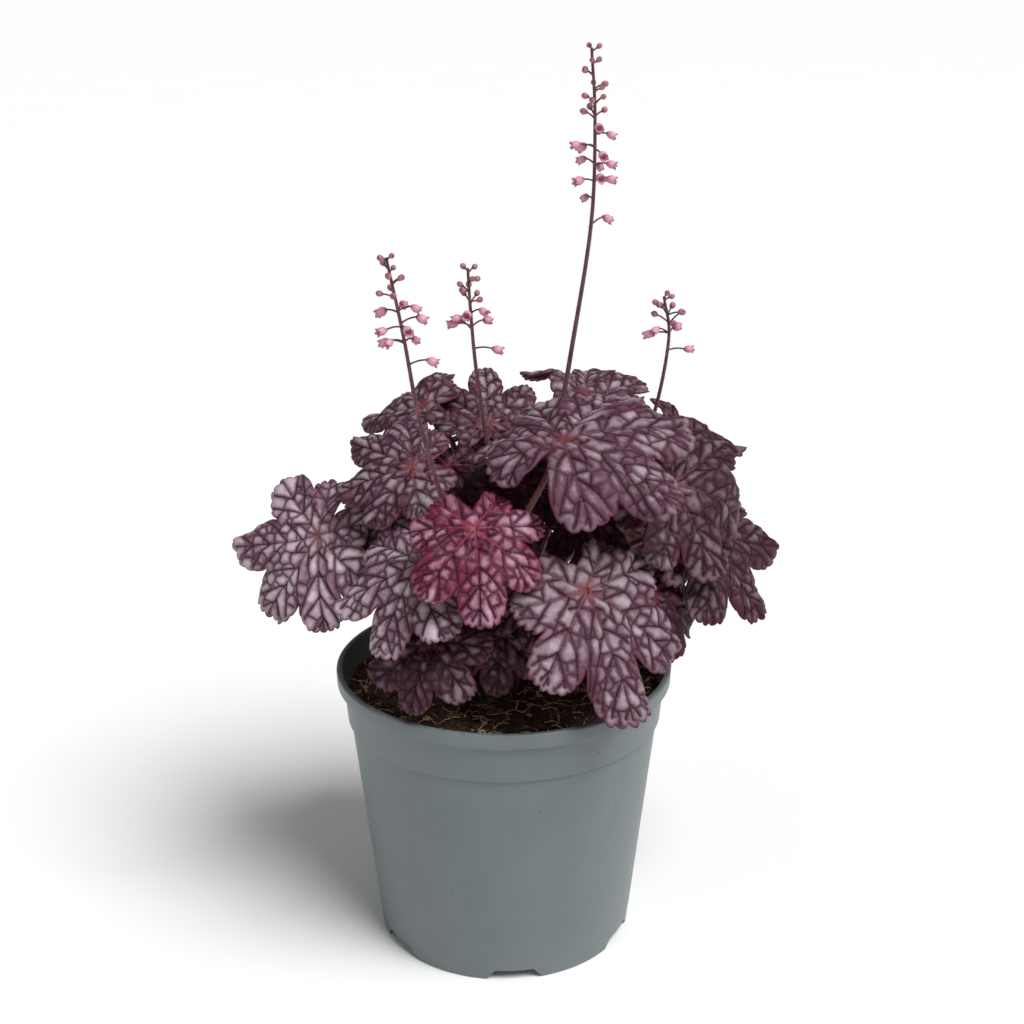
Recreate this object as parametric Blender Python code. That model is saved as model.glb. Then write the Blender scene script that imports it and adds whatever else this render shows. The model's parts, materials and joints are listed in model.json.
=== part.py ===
"""A heuchera plant in a round grey nursery pot, in metres, +Z up.

The origin is on the pot's axis at the foot of the pot. The plant is laid out in millimetres and turned
into metres when a mesh is made. Each leaf is one closed solid, blade and stalk together, and so is
each flower stem with its florets. Stalks and stems stand in plain holes in the potting soil.
"""

import math
import random
from dataclasses import dataclass

import bmesh
import bpy
import numpy as np
from mathutils import Vector
from mathutils.bvhtree import BVHTree
from mathutils.geometry import delaunay_2d_cdt

MM = 0.001
SEAT_GAP = 0.3

# Pot, in millimetres: height, radii to the outside, wall and the steps of the rim.
POT_HEIGHT = 145.8
RIM_RADIUS = 85.0
LIP_DEPTH = 7.4
COLLAR_DEPTH = 26.9
COLLAR_TOP_RADIUS = 81.6
COLLAR_FOOT_RADIUS = 79.8
BODY_TOP_RADIUS = 78.4
FOOT_RADIUS = 65.3
WALL = 2.0
RIM_WALL = 3.2
FLOOR_LIFT = 6.0
FLOOR_THICKNESS = 2.4
FOOT_RING = 4.2
POT_SEGMENTS = 40
NOTCH_COUNT = 6
NOTCH_HEIGHT = 5.6
NOTCH_TOP_WIDTH = 19.0
NOTCH_FOOT_WIDTH = 29.0
NOTCH_TURN = -86.0
DRAIN_COUNT = 6
DRAIN_RADIUS = 5.0
DRAIN_RING = 42.0

# Soil: its level, how rough it is and how deep the stalk holes go.
SOIL_TOP = 134.0
SOIL_SEGMENTS = 40
SOIL_GRAINS = 70
SOIL_ROUGHNESS = 1.3
HOLE_DEPTH = 9.0
HOLE_SIDES = 5

# Leaf blade: lobes as turn from the main tip in degrees, length and number of teeth, then the clefts.
LOBES = (
    (-137, 0.64, 3), (-93, 0.82, 5), (-46, 0.94, 5), (0, 1.0, 5), (46, 0.94, 5), (93, 0.82, 5), (137, 0.64, 3)
)
CLEFTS = (
    (-164, 0.42), (-116, 0.57), (-69, 0.60), (-23, 0.64), (23, 0.64), (69, 0.60), (116, 0.57), (164, 0.42)
)
BASE_CLEFT = 0.20
LOBE_ROUNDNESS = 3.0
TOOTH_HEIGHT = 0.045
BLADE_THICKNESS = 0.78
STALK_SIDES = 5
STALK_SHARES = (0.06, 0.25, 0.5, 0.75, 1.0)
STALK_TOP_RADIUS = 1.45
STALK_FOOT_RADIUS = 1.85

# Layering: the point that the blades are layered round, and the space between two blades.
HEART = np.array((0.0, 4.0, 140.0))
LAYER_GAP = 4.2
LAYER_REACH = 30.0
LATTICE_TURNS = 36
LATTICE_RINGS = (0.03, 0.3, 0.55, 0.8, 1.05)

# Flower stems.
STEM_SIDES = 5
PEDICEL_SIDES = 3
FLORET_SIDES = 4

GOLDEN_TURN = 137.508
CROWN_SPACING = 4.0
CROWN_CENTRE = (0.0, 2.0)


@dataclass(frozen=True)
class Leaf:
    """One leaf: where its navel is, which way its main tip points and how the blade is bent.

    Args:
        navel: The point where stalk and blade meet, in millimetres.
        heading: Direction of the main tip seen from above, in degrees from +X.
        down: How far the main tip points below level, in degrees.
        roll: Turn about the main rib, in degrees; minus turns the left side up.
        size: Length of the main lobe in millimetres.
        cup: Bend of the blade from navel to margin, in degrees; minus bends it up.
        lean: Extra bend towards the main tip, in degrees.
        ruffle: Height of the waves at the margin, in millimetres.
        skew: How much longer the lobes on the right are than those on the left, as a share.
        tail: How much shorter the lobes beside the stalk are than on other leaves, as a share.
        spread: How much wider than usual the lobes fan out, as a share.
        teeth: Most teeth on a lobe.
    """

    navel: tuple[float, float, float]
    heading: float
    down: float
    roll: float
    size: float
    cup: float = 28.0
    lean: float = 0.0
    ruffle: float = 4.0
    skew: float = 0.0
    tail: float = 0.0
    spread: float = 0.0
    teeth: int = 5


LEAVES = {
    "leaf_left_inner": Leaf((-56, -4, 226), -155, 30, -20, 32, ruffle=2.5, teeth=3),
    "leaf_top_inner": Leaf((-27, 0, 250), -100, 38, 0, 29, ruffle=2.5, tail=0.2, teeth=3),
    "leaf_heart": Leaf((9, -14, 244), -80, 40, 0, 35, ruffle=2.5, teeth=3),
    "leaf_front_low": Leaf((-3, -50, 184), -92, 58, 0, 32, cup=15, teeth=3),
    "leaf_front_inner": Leaf((14, -43, 201), -88, 52, 0, 29, cup=16, ruffle=1.5, teeth=3),
    "leaf_right_low": Leaf((72, -36, 197), -45, 52, 0, 36, teeth=3),
    "leaf_back_left_low": Leaf((-60, 54, 205), 135, 42, 0, 50, teeth=3),
    "leaf_back_low": Leaf((-6, 68, 203), 95, 44, 0, 52, teeth=3),
    "leaf_back_right_low": Leaf((58, 56, 204), 45, 42, 0, 52, teeth=3),
    "leaf_right_far": Leaf((97, -2, 216), -24, 44, 22, 52, cup=18),
    "leaf_left_far": Leaf((-87, -8, 214), -156, 36, -40, 53, cup=28, lean=14, skew=0.05, tail=0.1),
    "leaf_front_left_low": Leaf((-35, -60, 184), -115, 50, 0, 36, cup=20),
    "leaf_back_left": Leaf((-48, 38, 240), 150, 25, 0, 42),
    "leaf_back": Leaf((8, 50, 246), 92, 24, 0, 44),
    "leaf_back_right": Leaf((58, 46, 234), 48, 26, 0, 40),
    "leaf_dark_inner": Leaf((39, -27, 232), -82, 32, 0, 29, ruffle=2.5, tail=0.35, teeth=3),
    "leaf_left_front": Leaf((-39, -52, 219), -130, 42, -5, 47, cup=28, lean=-8),
    "leaf_top": Leaf((-8, 28, 263), 92, -36, 0, 34, cup=-2, ruffle=3.0, tail=0.2),
    "leaf_top_left": Leaf((-39, 31, 270), 158, 8, -28, 37, tail=0.15),
    "leaf_top_right": Leaf((42, 44, 271), 80, -20, 0, 42, cup=18, tail=0.1),
    "leaf_right_upper": Leaf((85, 25, 256), -5, 2, 8, 38, cup=18, tail=0.15),
    "leaf_left_upper": Leaf((-43, -15, 253), -172, 10, -42, 40, cup=25, lean=12, tail=0.1),
    "leaf_front_right": Leaf((37, -62, 207), -54, 50, 0, 60, cup=24, lean=-8, tail=0.38),
    "leaf_right": Leaf((77, -18, 240), -36, 36, 10, 46, cup=30, skew=-0.1, tail=0.15),
    "leaf_front": Leaf((-13, -67, 241), -80, 43, 0, 44, cup=26, tail=0.25),
    "leaf_crest": Leaf(
        (27, -36, 271), 60, -23, 0, 63, cup=40, lean=-17, skew=0.15, tail=-0.1, spread=0.03, ruffle=4.5
    ),
}


def lift(points: np.ndarray) -> np.ndarray:
    """Directions of rays from the heart of the plant through the points."""
    away = points - HEART
    return away / np.linalg.norm(away, axis=-1, keepdims=True)


class Blade:
    """The form of one blade: outline, bend, waves and the push that lays it over its neighbours."""

    def __init__(self, name: str, leaf: Leaf, seed: int):
        self.name = name
        self.leaf = leaf
        rng = random.Random(seed)
        self.centres = (1 + leaf.spread) * np.array([turn + rng.uniform(-3, 3) for turn, _, _ in LOBES])
        self.lengths = np.array([length * rng.uniform(0.94, 1.06) for _, length, _ in LOBES])
        self.lengths *= self.uneven(self.centres)
        self.teeth = np.array([min(teeth, leaf.teeth) for _, _, teeth in LOBES])
        self.bounds = (1 + leaf.spread) * np.array([turn + rng.uniform(-2, 2) for turn, _ in CLEFTS])
        self.clefts = np.array([depth * rng.uniform(0.92, 1.08) for _, depth in CLEFTS])
        self.clefts *= self.uneven(self.bounds)
        self.waves = [rng.uniform(0, 2 * math.pi) for _ in range(4)]
        self.axes = self.make_axes()
        self.push = np.zeros((len(LATTICE_RINGS), LATTICE_TURNS))

    def make_axes(self) -> np.ndarray:
        """Rows: across the blade, along its main rib, and out of its upper face."""
        heading, down, roll = (math.radians(v) for v in (self.leaf.heading, self.leaf.down, self.leaf.roll))
        ahead = np.array((math.cos(heading), math.sin(heading), 0.0))
        along = ahead * math.cos(down) - np.array((0.0, 0.0, math.sin(down)))
        out = ahead * math.sin(down) + np.array((0.0, 0.0, math.cos(down)))
        across = np.cross(along, out)
        turned = across * math.cos(roll) - out * math.sin(roll)
        return np.array((turned, along, out * math.cos(roll) + across * math.sin(roll)))

    def uneven(self, turn: np.ndarray) -> np.ndarray:
        """Share by which the leaf's skew and tail change its length in each direction."""
        phi = np.radians(turn)
        return (1 + self.leaf.skew * np.sin(phi)) * (1 - self.leaf.tail * (1 - np.cos(phi)) / 2)

    def lobe_place(self, turn: np.ndarray) -> tuple[np.ndarray, np.ndarray]:
        """The lobe that each direction falls in, and its place in it, from -1 through 0 at the rib to 1."""
        index = np.clip(np.searchsorted(self.bounds, turn, side="right") - 1, 0, len(LOBES) - 1)
        offset = turn - self.centres[index]
        edge = np.where(offset < 0, self.bounds[index], self.bounds[index + 1]) - self.centres[index]
        return index, np.clip(np.abs(offset / edge), 0, 1) * np.sign(offset)

    def reach(self, turn: np.ndarray, toothed: bool = False) -> np.ndarray:
        """Distance from navel to margin in each direction, as a share of the leaf's size."""
        turn = np.asarray(turn, float)
        index, place = self.lobe_place(turn)
        cleft = np.where(place < 0, self.clefts[index], self.clefts[index + 1])
        length = self.lengths[index]
        radius = length - (length - cleft) * np.abs(place) ** LOBE_ROUNDNESS
        if toothed:
            phase = (place + 1) / 2 * self.teeth[index]
            height = TOOTH_HEIGHT * (1 + 0.3 * np.sin(np.radians(turn * 5) + self.waves[3]))
            radius = radius + height * (2 * np.abs(np.sin(math.pi * phase)) ** 0.75 - 1)
        past = np.maximum(np.abs(turn) - np.where(turn < 0, -self.bounds[0], self.bounds[-1]), 0)
        span = 180 - np.where(turn < 0, -self.bounds[0], self.bounds[-1])
        shoulder = np.where(turn < 0, self.clefts[0], self.clefts[-1])
        return np.where(past > 0, shoulder + (BASE_CLEFT - shoulder) * past / span, radius)

    def local(self, turn: np.ndarray, share: np.ndarray, toothed: bool = False) -> np.ndarray:
        """Points of the unpushed blade in its own axes, from directions and shares of the way out."""
        leaf = self.leaf
        phi = np.radians(turn)
        u = share * self.reach(turn, toothed)
        curl = np.radians(leaf.cup + leaf.lean * np.cos(phi)) / leaf.size
        curl = np.where(np.abs(curl) < 1e-6, 1e-6, curl)
        bent = curl * u * leaf.size
        radius, height = np.sin(bent) / curl, -(1 - np.cos(bent)) / curl
        place = self.lobe_place(turn)[1] ** 2
        wave = leaf.ruffle * np.minimum(u, 1.1) ** 2 * (
            0.6 * np.sin(5 * phi + self.waves[0]) + 0.4 * np.sin(9 * phi + self.waves[1])
        )
        pleat = leaf.size * (0.085 * place * u * np.exp(1 - u / 0.42) - 0.16 * place * np.maximum(u - 0.5, 0))
        rise = wave + pleat
        out = np.stack([np.sin(bent) * np.sin(phi), np.sin(bent) * np.cos(phi), np.cos(bent)], -1)
        return np.stack([radius * np.sin(phi), radius * np.cos(phi), height], -1) + out * rise[..., None]

    def pushed(self, turn: np.ndarray, share: np.ndarray) -> np.ndarray:
        """The push outward at each place of the blade, in millimetres, read from the lattice."""
        column = (np.asarray(turn, float) + 180) / 360 * LATTICE_TURNS
        low = np.floor(column).astype(int)
        part = column - low
        row = np.interp(share, LATTICE_RINGS, range(len(LATTICE_RINGS)))
        base = np.minimum(np.floor(row).astype(int), len(LATTICE_RINGS) - 2)
        over = row - base
        result = 0.0
        for ring, weight in ((base, 1 - over), (base + 1, over)):
            before = self.push[ring, low % LATTICE_TURNS]
            after = self.push[ring, (low + 1) % LATTICE_TURNS]
            result = result + (before * (1 - part) + after * part) * weight
        return result

    def points(self, turn: np.ndarray, share: np.ndarray, toothed: bool = False) -> np.ndarray:
        """World points of the blade's middle surface, in millimetres."""
        turn, share = np.broadcast_arrays(np.asarray(turn, float), np.asarray(share, float))
        world = np.array(self.leaf.navel) + self.local(turn, share, toothed) @ self.axes
        return world + lift(world) * self.pushed(turn, share)[..., None]

    def lattice(self) -> tuple[np.ndarray, list[tuple[int, int, int]]]:
        """A regular net over the blade, for finding where blades meet."""
        turns = np.linspace(-180, 180, LATTICE_TURNS, endpoint=False)
        rows = [self.points(turns, np.full(LATTICE_TURNS, share)) for share in LATTICE_RINGS]
        faces = []
        for ring in range(len(LATTICE_RINGS) - 1):
            for step in range(LATTICE_TURNS):
                a, b = ring * LATTICE_TURNS + step, ring * LATTICE_TURNS + (step + 1) % LATTICE_TURNS
                faces += [(a, b, b + LATTICE_TURNS), (a, b + LATTICE_TURNS, a + LATTICE_TURNS)]
        faces += [(0, step + 1, step) for step in range(1, LATTICE_TURNS - 1)]
        return np.concatenate(rows), faces

    def spread(self, need: np.ndarray, flat: np.ndarray) -> None:
        """Add a push where it is needed, fading out softly over the blade round it."""
        reach = 0.42 * self.leaf.size
        gaps = np.linalg.norm(flat[:, None] - flat[None], axis=-1)
        eased = (need[None] * np.exp(-((gaps / reach) ** 2))).max(axis=1)
        self.push += eased.reshape(self.push.shape)


def tree_of(points: np.ndarray, faces: list) -> BVHTree:
    return BVHTree.FromPolygons([Vector(p) for p in points], faces)


def far_hit(tree: BVHTree, direction: Vector, limit: float) -> float:
    """Distance from the heart to the last sheet that a ray meets within the limit, or 0."""
    start = Vector(HEART)
    travelled = last = 0.0
    while True:
        place, _, _, step = tree.ray_cast(start, direction, limit - travelled)
        if place is None:
            return last
        travelled += step
        last = travelled
        travelled += 0.01
        start = Vector(HEART) + direction * travelled


def layer(blades: list[Blade]) -> None:
    """Lay each blade over those before it, pushed out from the heart of the plant where they would meet."""
    placed_points: list[np.ndarray] = []
    placed_faces: list[tuple[int, int, int]] = []
    for blade in blades:
        if placed_points:
            earlier = np.concatenate(placed_points)
            tree = tree_of(earlier, placed_faces)
            flat = blade_flat(blade)
            for _ in range(12):
                need = layer_need(blade, tree, earlier)
                if need.max() < 0.15:
                    break
                blade.spread(need, flat)
        points, faces = blade.lattice()
        offset = sum(len(p) for p in placed_points)
        placed_points.append(points)
        placed_faces += [tuple(i + offset for i in face) for face in faces]


def blade_flat(blade: Blade) -> np.ndarray:
    """The lattice's places on the flat blade, in millimetres."""
    turns = np.linspace(-180, 180, LATTICE_TURNS, endpoint=False)
    reach = blade.reach(turns) * blade.leaf.size
    phi = np.radians(turns)
    outline = np.stack([reach * np.sin(phi), reach * np.cos(phi)], -1)
    return np.concatenate([outline * share for share in LATTICE_RINGS])


def layer_need(blade: Blade, tree: BVHTree, earlier: np.ndarray) -> np.ndarray:
    """How much further out each lattice place has to be to clear the blades already placed."""
    points, faces = blade.lattice()
    distance = np.linalg.norm(points - HEART, axis=1)
    need = np.zeros(len(points))
    for index, (direction, reached) in enumerate(zip(lift(points), distance)):
        hit = far_hit(tree, Vector(direction), reached + LAYER_REACH)
        if hit:
            need[index] = max(0.0, hit + LAYER_GAP - reached)
    own = tree_of(points, faces)
    for direction, reached in zip(lift(earlier), np.linalg.norm(earlier - HEART, axis=1)):
        _, _, face, hit = own.ray_cast(Vector(HEART), Vector(direction), 400)
        if face is not None and 0 < reached + LAYER_GAP - hit < LAYER_REACH:
            for corner in faces[face]:
                need[corner] = max(need[corner], reached + LAYER_GAP - hit)
    return need


def crown_points(count: int) -> list[np.ndarray]:
    """Feet of the stalks on a spiral about the crown."""
    feet = []
    for index in range(count):
        radius = CROWN_SPACING * math.sqrt(index + 0.5)
        turn = math.radians(GOLDEN_TURN * index)
        feet.append(np.array(CROWN_CENTRE) + radius * np.array((math.cos(turn), math.sin(turn))))
    return feet


def bezier(a: np.ndarray, b: np.ndarray, c: np.ndarray, d: np.ndarray, count: int) -> np.ndarray:
    t = np.linspace(0, 1, count)[:, None]
    return (1 - t) ** 3 * a + 3 * (1 - t) ** 2 * t * b + 3 * (1 - t) * t * t * c + t**3 * d


def along(path: np.ndarray, shares: list[float] | np.ndarray) -> np.ndarray:
    """Points at shares of a path's length."""
    steps = np.concatenate([[0.0], np.cumsum(np.linalg.norm(np.diff(path, axis=0), axis=1))])
    picks = steps[-1] * np.asarray(shares)
    return np.stack([np.interp(picks, steps, path[:, axis]) for axis in range(3)], -1)


def stalk_bends(path: np.ndarray) -> np.ndarray:
    """The few points that the solid stalk bends at, from foot to blade."""
    return along(path, [0.0] + [1 - share for share in reversed(STALK_SHARES[:-1])] + [1.0])


def filled(bends: np.ndarray) -> np.ndarray:
    return along(bends, np.linspace(0, 1, 30))


class Router:
    """Finds each stalk a way from its foot to its blade that stays clear of what is already there."""

    def __init__(self, blades: list[Blade]):
        self.trees = {}
        for blade in blades:
            self.trees[blade.name] = tree_of(*blade.lattice())
        self.lines: list[np.ndarray] = []

    def clearance(self, path: np.ndarray, own: str, top_free: float) -> float:
        """Smallest space round a path, less what a blade or a neighbouring stalk needs."""
        worst = 99.0
        top = path[-1]
        for point in path[1:]:
            spot = Vector(point)
            for name, tree in self.trees.items():
                if name == own and np.linalg.norm(point - top) < top_free:
                    continue
                near = tree.find_nearest(spot, 12.0)[3]
                if near is not None:
                    worst = min(worst, near - STALK_FOOT_RADIUS - 1.0)
        for line in self.lines:
            gaps = np.linalg.norm(path[:, None] - line[None], axis=-1)
            worst = min(worst, gaps.min() - 2 * STALK_FOOT_RADIUS - 0.9)
        return worst

    def route(self, foot: np.ndarray, blade: Blade) -> tuple[np.ndarray, float]:
        """The first bend of the stalk that is clear, or else the clearest one."""
        navel = blade.points(np.array([0.0]), np.array([0.0]))[0]
        start = np.array((foot[0], foot[1], SOIL_TOP + 1.0))
        length = np.linalg.norm(navel - start)
        arrive = blade.axes[2] * 0.8 + blade.axes[1] * 0.45
        arrive = arrive / np.linalg.norm(arrive)
        side = np.cross(navel - start, (0, 0, 1))
        side = side / max(np.linalg.norm(side), 1e-6)
        ahead = np.cross((0, 0, 1), side)
        best, best_space = None, -99.0
        for swing in (0, 8, -8, 16, -16, 24, -24, 34, -34, 46, -46):
            for bow in (0, -10, 10, -20, 20, 32):
                for low in (0, 0.6, -0.6):
                    b = start + np.array((0, 0, 0.45 * length)) + side * swing * low + ahead * bow * 0.5
                    c = navel - arrive * 0.4 * length + side * swing + ahead * bow
                    path = bezier(start, b, c, navel, 26)
                    space = self.clearance(filled(stalk_bends(path)), blade.name, 14.0)
                    if space > best_space:
                        best, best_space = path, space
                    if space > 0:
                        return best, best_space
        return best, best_space


def new_material(name: str, colour: tuple[float, float, float], roughness: float) -> bpy.types.Material:
    material = bpy.data.materials.new(name)
    material.use_nodes = True
    shader = material.node_tree.nodes["Principled BSDF"]
    shader.inputs["Base Color"].default_value = (*colour, 1.0)
    shader.inputs["Roughness"].default_value = roughness
    shader.inputs["Metallic"].default_value = 0.0
    return material


def add_object(name: str, mesh_data: bmesh.types.BMesh, material: bpy.types.Material) -> bpy.types.Object:
    """Turn a mesh laid out in millimetres into an object in metres."""
    bmesh.ops.scale(mesh_data, vec=(MM, MM, MM), verts=mesh_data.verts)
    mesh = bpy.data.meshes.new(name)
    mesh_data.to_mesh(mesh)
    mesh_data.free()
    mesh.materials.append(material)
    thing = bpy.data.objects.new(name, mesh)
    bpy.context.scene.collection.objects.link(thing)
    return thing


def zipper(outer: list[float], inner: list[float]) -> list[tuple[tuple[str, int], ...]]:
    """Triangles between two closed rings of points that start at the same turn, as (ring, index) corners."""
    faces = []
    i = j = 0
    turns_out = outer + [outer[0] + 360]
    turns_in = inner + [inner[0] + 360]
    while i < len(outer) or j < len(inner):
        step_out = j == len(inner) or (i < len(outer) and turns_out[i + 1] <= turns_in[j + 1])
        a, b = ("out", i % len(outer)), ("in", j % len(inner))
        if step_out:
            faces.append((b, a, ("out", (i + 1) % len(outer))))
            i += 1
        else:
            faces.append((b, a, ("in", (j + 1) % len(inner))))
            j += 1
    return faces


def ring_turns(blade: Blade, per_lobe: str) -> list[float]:
    """Directions of a ring of points over the lobes: at every tooth, or in quarter lobes."""
    turns = []
    for index, (low, centre, high) in enumerate(zip(blade.bounds, blade.centres, blade.bounds[1:])):
        teeth = int(blade.teeth[index])
        places = {
            "teeth": [-1 + step / teeth for step in range(2 * teeth)],
            "quarters": [-1, -0.5, 0, 0.5],
        }[per_lobe]
        for place in places:
            turns.append(centre + (place * (high - centre) if place > 0 else place * (centre - low)))
    return turns + [float(blade.bounds[-1]), 180.0]


def make_leaf(blade: Blade, path: np.ndarray, material: bpy.types.Material) -> bpy.types.Object:
    """Blade and stalk as one closed solid: a middle surface of triangles, then given its thickness."""
    start = float(blade.bounds[0])
    rings = [
        ([start + 360 / STALK_SIDES * step for step in range(STALK_SIDES)], None),
        (ring_turns(blade, "quarters"), 0.52),
        (ring_turns(blade, "teeth"), 1.0),
    ]
    points, offsets = [], []
    for turns, share in rings:
        offsets.append(sum(len(p) for p in points))
        wrapped = np.array([(turn + 180) % 360 - 180 if turn > 180 else turn for turn in turns])
        if share is None:
            shares = STALK_TOP_RADIUS * 1.15 / (blade.leaf.size * blade.reach(wrapped))
            points.append(blade.points(wrapped, shares))
        else:
            points.append(blade.points(wrapped, np.full(len(turns), share), toothed=share == 1.0))
    faces = []
    for ring in range(2):
        inner, outer = rings[ring][0], rings[ring + 1][0]
        for face in zipper(outer, inner):
            faces.append(tuple(offsets[ring + (kind == "out")] + index for kind, index in face))
    middle = np.concatenate(points)
    corners = np.array(faces)
    normals = np.zeros_like(middle)
    first, second, third = (middle[corners[:, corner]] for corner in range(3))
    cross = np.cross(second - first, third - first)
    upward = np.sign((cross @ blade.axes[2]).sum())
    unit = cross / np.maximum(np.linalg.norm(cross, axis=1, keepdims=True), 1e-9) * upward
    for corner in range(3):
        np.add.at(normals, corners[:, corner], unit)
    normals[: STALK_SIDES] = blade.axes[2]
    normals /= np.linalg.norm(normals, axis=1, keepdims=True)
    if upward < 0:
        corners = corners[:, ::-1]
    data = bmesh.new()
    top = [data.verts.new(p) for p in middle + normals * BLADE_THICKNESS / 2]
    under = [data.verts.new(p) for p in middle - normals * BLADE_THICKNESS / 2]
    for face in corners:
        data.faces.new([top[i] for i in face])
        data.faces.new([under[i] for i in face[::-1]])
    margin = list(range(offsets[2], len(middle)))
    for a, b in zip(margin, margin[1:] + margin[:1]):
        data.faces.new((top[a], top[b], under[b]))
        data.faces.new((top[a], under[b], under[a]))
    cap = top[:STALK_SIDES]
    data.faces.new(cap)
    ring = under[:STALK_SIDES]
    for section in stalk_sections(blade, path, [np.array(v.co) for v in ring]):
        fresh = [data.verts.new(p) for p in section]
        for a in range(STALK_SIDES):
            b = (a + 1) % STALK_SIDES
            data.faces.new((ring[a], ring[b], fresh[b]))
            data.faces.new((ring[a], fresh[b], fresh[a]))
        ring = fresh
    data.faces.new(ring)
    bmesh.ops.triangulate(data, faces=[f for f in data.faces if len(f.verts) > 3])
    bmesh.ops.recalc_face_normals(data, faces=data.faces)
    return add_object(blade.name, data, material)


def stalk_sections(blade: Blade, path: np.ndarray, first: list[np.ndarray]) -> list[np.ndarray]:
    """Rings of the stalk from the blade's underside to its foot in the soil."""
    picks = list(stalk_bends(path)[-2::-1])
    picks.append(np.array((path[0][0], path[0][1], SOIL_TOP + 1.0 - HOLE_DEPTH)))
    centre = np.mean(first, axis=0)
    lean = first[0] - centre
    lean = lean / np.linalg.norm(lean)
    handed = None
    sections = []
    before = centre
    for index, pick in enumerate(picks):
        after = picks[index + 1] if index + 1 < len(picks) else pick + (pick - before)
        tangent = after - before if index < len(picks) - 2 else np.array((0.0, 0.0, -1.0))
        tangent = tangent / np.linalg.norm(tangent)
        lean = lean - tangent * (lean @ tangent)
        lean = lean / np.linalg.norm(lean)
        other = np.cross(tangent, lean)
        if handed is None:
            handed = 1 if other @ (first[1] - centre) > 0 else -1
        share = index / (len(picks) - 1)
        radius = STALK_TOP_RADIUS + (STALK_FOOT_RADIUS - STALK_TOP_RADIUS) * share
        angles = [2 * math.pi * k / STALK_SIDES for k in range(STALK_SIDES)]
        sections.append([pick + radius * (math.cos(a) * lean + handed * math.sin(a) * other) for a in angles])
        before = pick
    return sections


def pot_profile() -> list[tuple[float, float]]:
    """Radius and height from the floor's middle inside, over the rim, to the middle of the underside."""
    body_step = POT_HEIGHT - COLLAR_DEPTH
    slope = (BODY_TOP_RADIUS - FOOT_RADIUS) / body_step
    floor_top = FLOOR_LIFT + FLOOR_THICKNESS
    wall_radius = FOOT_RADIUS + slope * floor_top
    return [
        (wall_radius - WALL, floor_top),
        (BODY_TOP_RADIUS - WALL, body_step - 1.0),
        (COLLAR_FOOT_RADIUS - WALL, body_step + 2.5),
        (COLLAR_TOP_RADIUS - WALL, POT_HEIGHT - LIP_DEPTH - 1.0),
        (RIM_RADIUS - RIM_WALL, POT_HEIGHT - 4.0),
        (RIM_RADIUS - RIM_WALL, POT_HEIGHT),
        (RIM_RADIUS - 0.9, POT_HEIGHT),
        (RIM_RADIUS, POT_HEIGHT - 0.9),
        (RIM_RADIUS - 0.3, POT_HEIGHT - LIP_DEPTH),
        (COLLAR_TOP_RADIUS, POT_HEIGHT - LIP_DEPTH),
        (COLLAR_FOOT_RADIUS, body_step),
        (BODY_TOP_RADIUS, body_step),
        (FOOT_RADIUS, 0.0),
        (FOOT_RADIUS - FOOT_RING, 0.0),
        (FOOT_RADIUS - FOOT_RING - 0.8, FLOOR_LIFT),
    ]


def make_pot(material: bpy.types.Material) -> bpy.types.Object:
    """The pot turned from its profile, with notches through the foot ring and drain holes in the floor."""
    data = bmesh.new()
    rings = []
    for radius, height in pot_profile():
        ring = []
        for step in range(POT_SEGMENTS):
            turn = 2 * math.pi * step / POT_SEGMENTS
            ring.append(data.verts.new((radius * math.cos(turn), radius * math.sin(turn), height)))
        rings.append(ring)
    for inner, outer in zip(rings, rings[1:]):
        for a in range(POT_SEGMENTS):
            b = (a + 1) % POT_SEGMENTS
            data.faces.new((inner[a], inner[b], outer[b], outer[a]))
    data.faces.new(rings[0])
    data.faces.new(rings[-1][::-1])
    bmesh.ops.recalc_face_normals(data, faces=data.faces)
    pot = add_object("pot", data, material)
    cutters = bpy.data.collections.new("pot_cutters")
    bpy.context.scene.collection.children.link(cutters)
    for index in range(NOTCH_COUNT):
        turn = math.radians(NOTCH_TURN + 360 / NOTCH_COUNT * index)
        add_cutter(cutters, notch_shape(turn), f"notch_cutter_{index}")
    for index in range(DRAIN_COUNT):
        turn = math.radians(NOTCH_TURN + 30 + 360 / DRAIN_COUNT * index)
        add_cutter(cutters, drain_shape(turn), f"drain_cutter_{index}")
    cut_with(pot, cutters)
    shade_round(pot)
    return pot


def notch_shape(turn: float) -> bmesh.types.BMesh:
    """A wedge through the foot ring, wider at the foot."""
    data = bmesh.new()
    out = np.array((math.cos(turn), math.sin(turn)))
    side = np.array((-out[1], out[0]))
    corners = []
    for radius in (FOOT_RADIUS - FOOT_RING - 2.5, FOOT_RADIUS + 4.0):
        for width, height in (
            (NOTCH_FOOT_WIDTH + 0.6, -0.6),
            (-NOTCH_FOOT_WIDTH - 0.6, -0.6),
            (-NOTCH_TOP_WIDTH, NOTCH_HEIGHT),
            (NOTCH_TOP_WIDTH, NOTCH_HEIGHT),
        ):
            spot = out * radius + side * width / 2
            corners.append(data.verts.new((spot[0], spot[1], height)))
    near, far = corners[:4], corners[4:]
    data.faces.new(near)
    data.faces.new(far[::-1])
    for a in range(4):
        b = (a + 1) % 4
        data.faces.new((near[a], far[a], far[b], near[b]))
    bmesh.ops.recalc_face_normals(data, faces=data.faces)
    return data


def drain_shape(turn: float) -> bmesh.types.BMesh:
    data = bmesh.new()
    depth = 4 * FLOOR_THICKNESS
    bmesh.ops.create_cone(
        data, cap_ends=True, segments=10, radius1=DRAIN_RADIUS, radius2=DRAIN_RADIUS, depth=depth
    )
    spot = (DRAIN_RING * math.cos(turn), DRAIN_RING * math.sin(turn), FLOOR_LIFT + FLOOR_THICKNESS / 2)
    bmesh.ops.translate(data, vec=spot, verts=data.verts)
    return data


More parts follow.
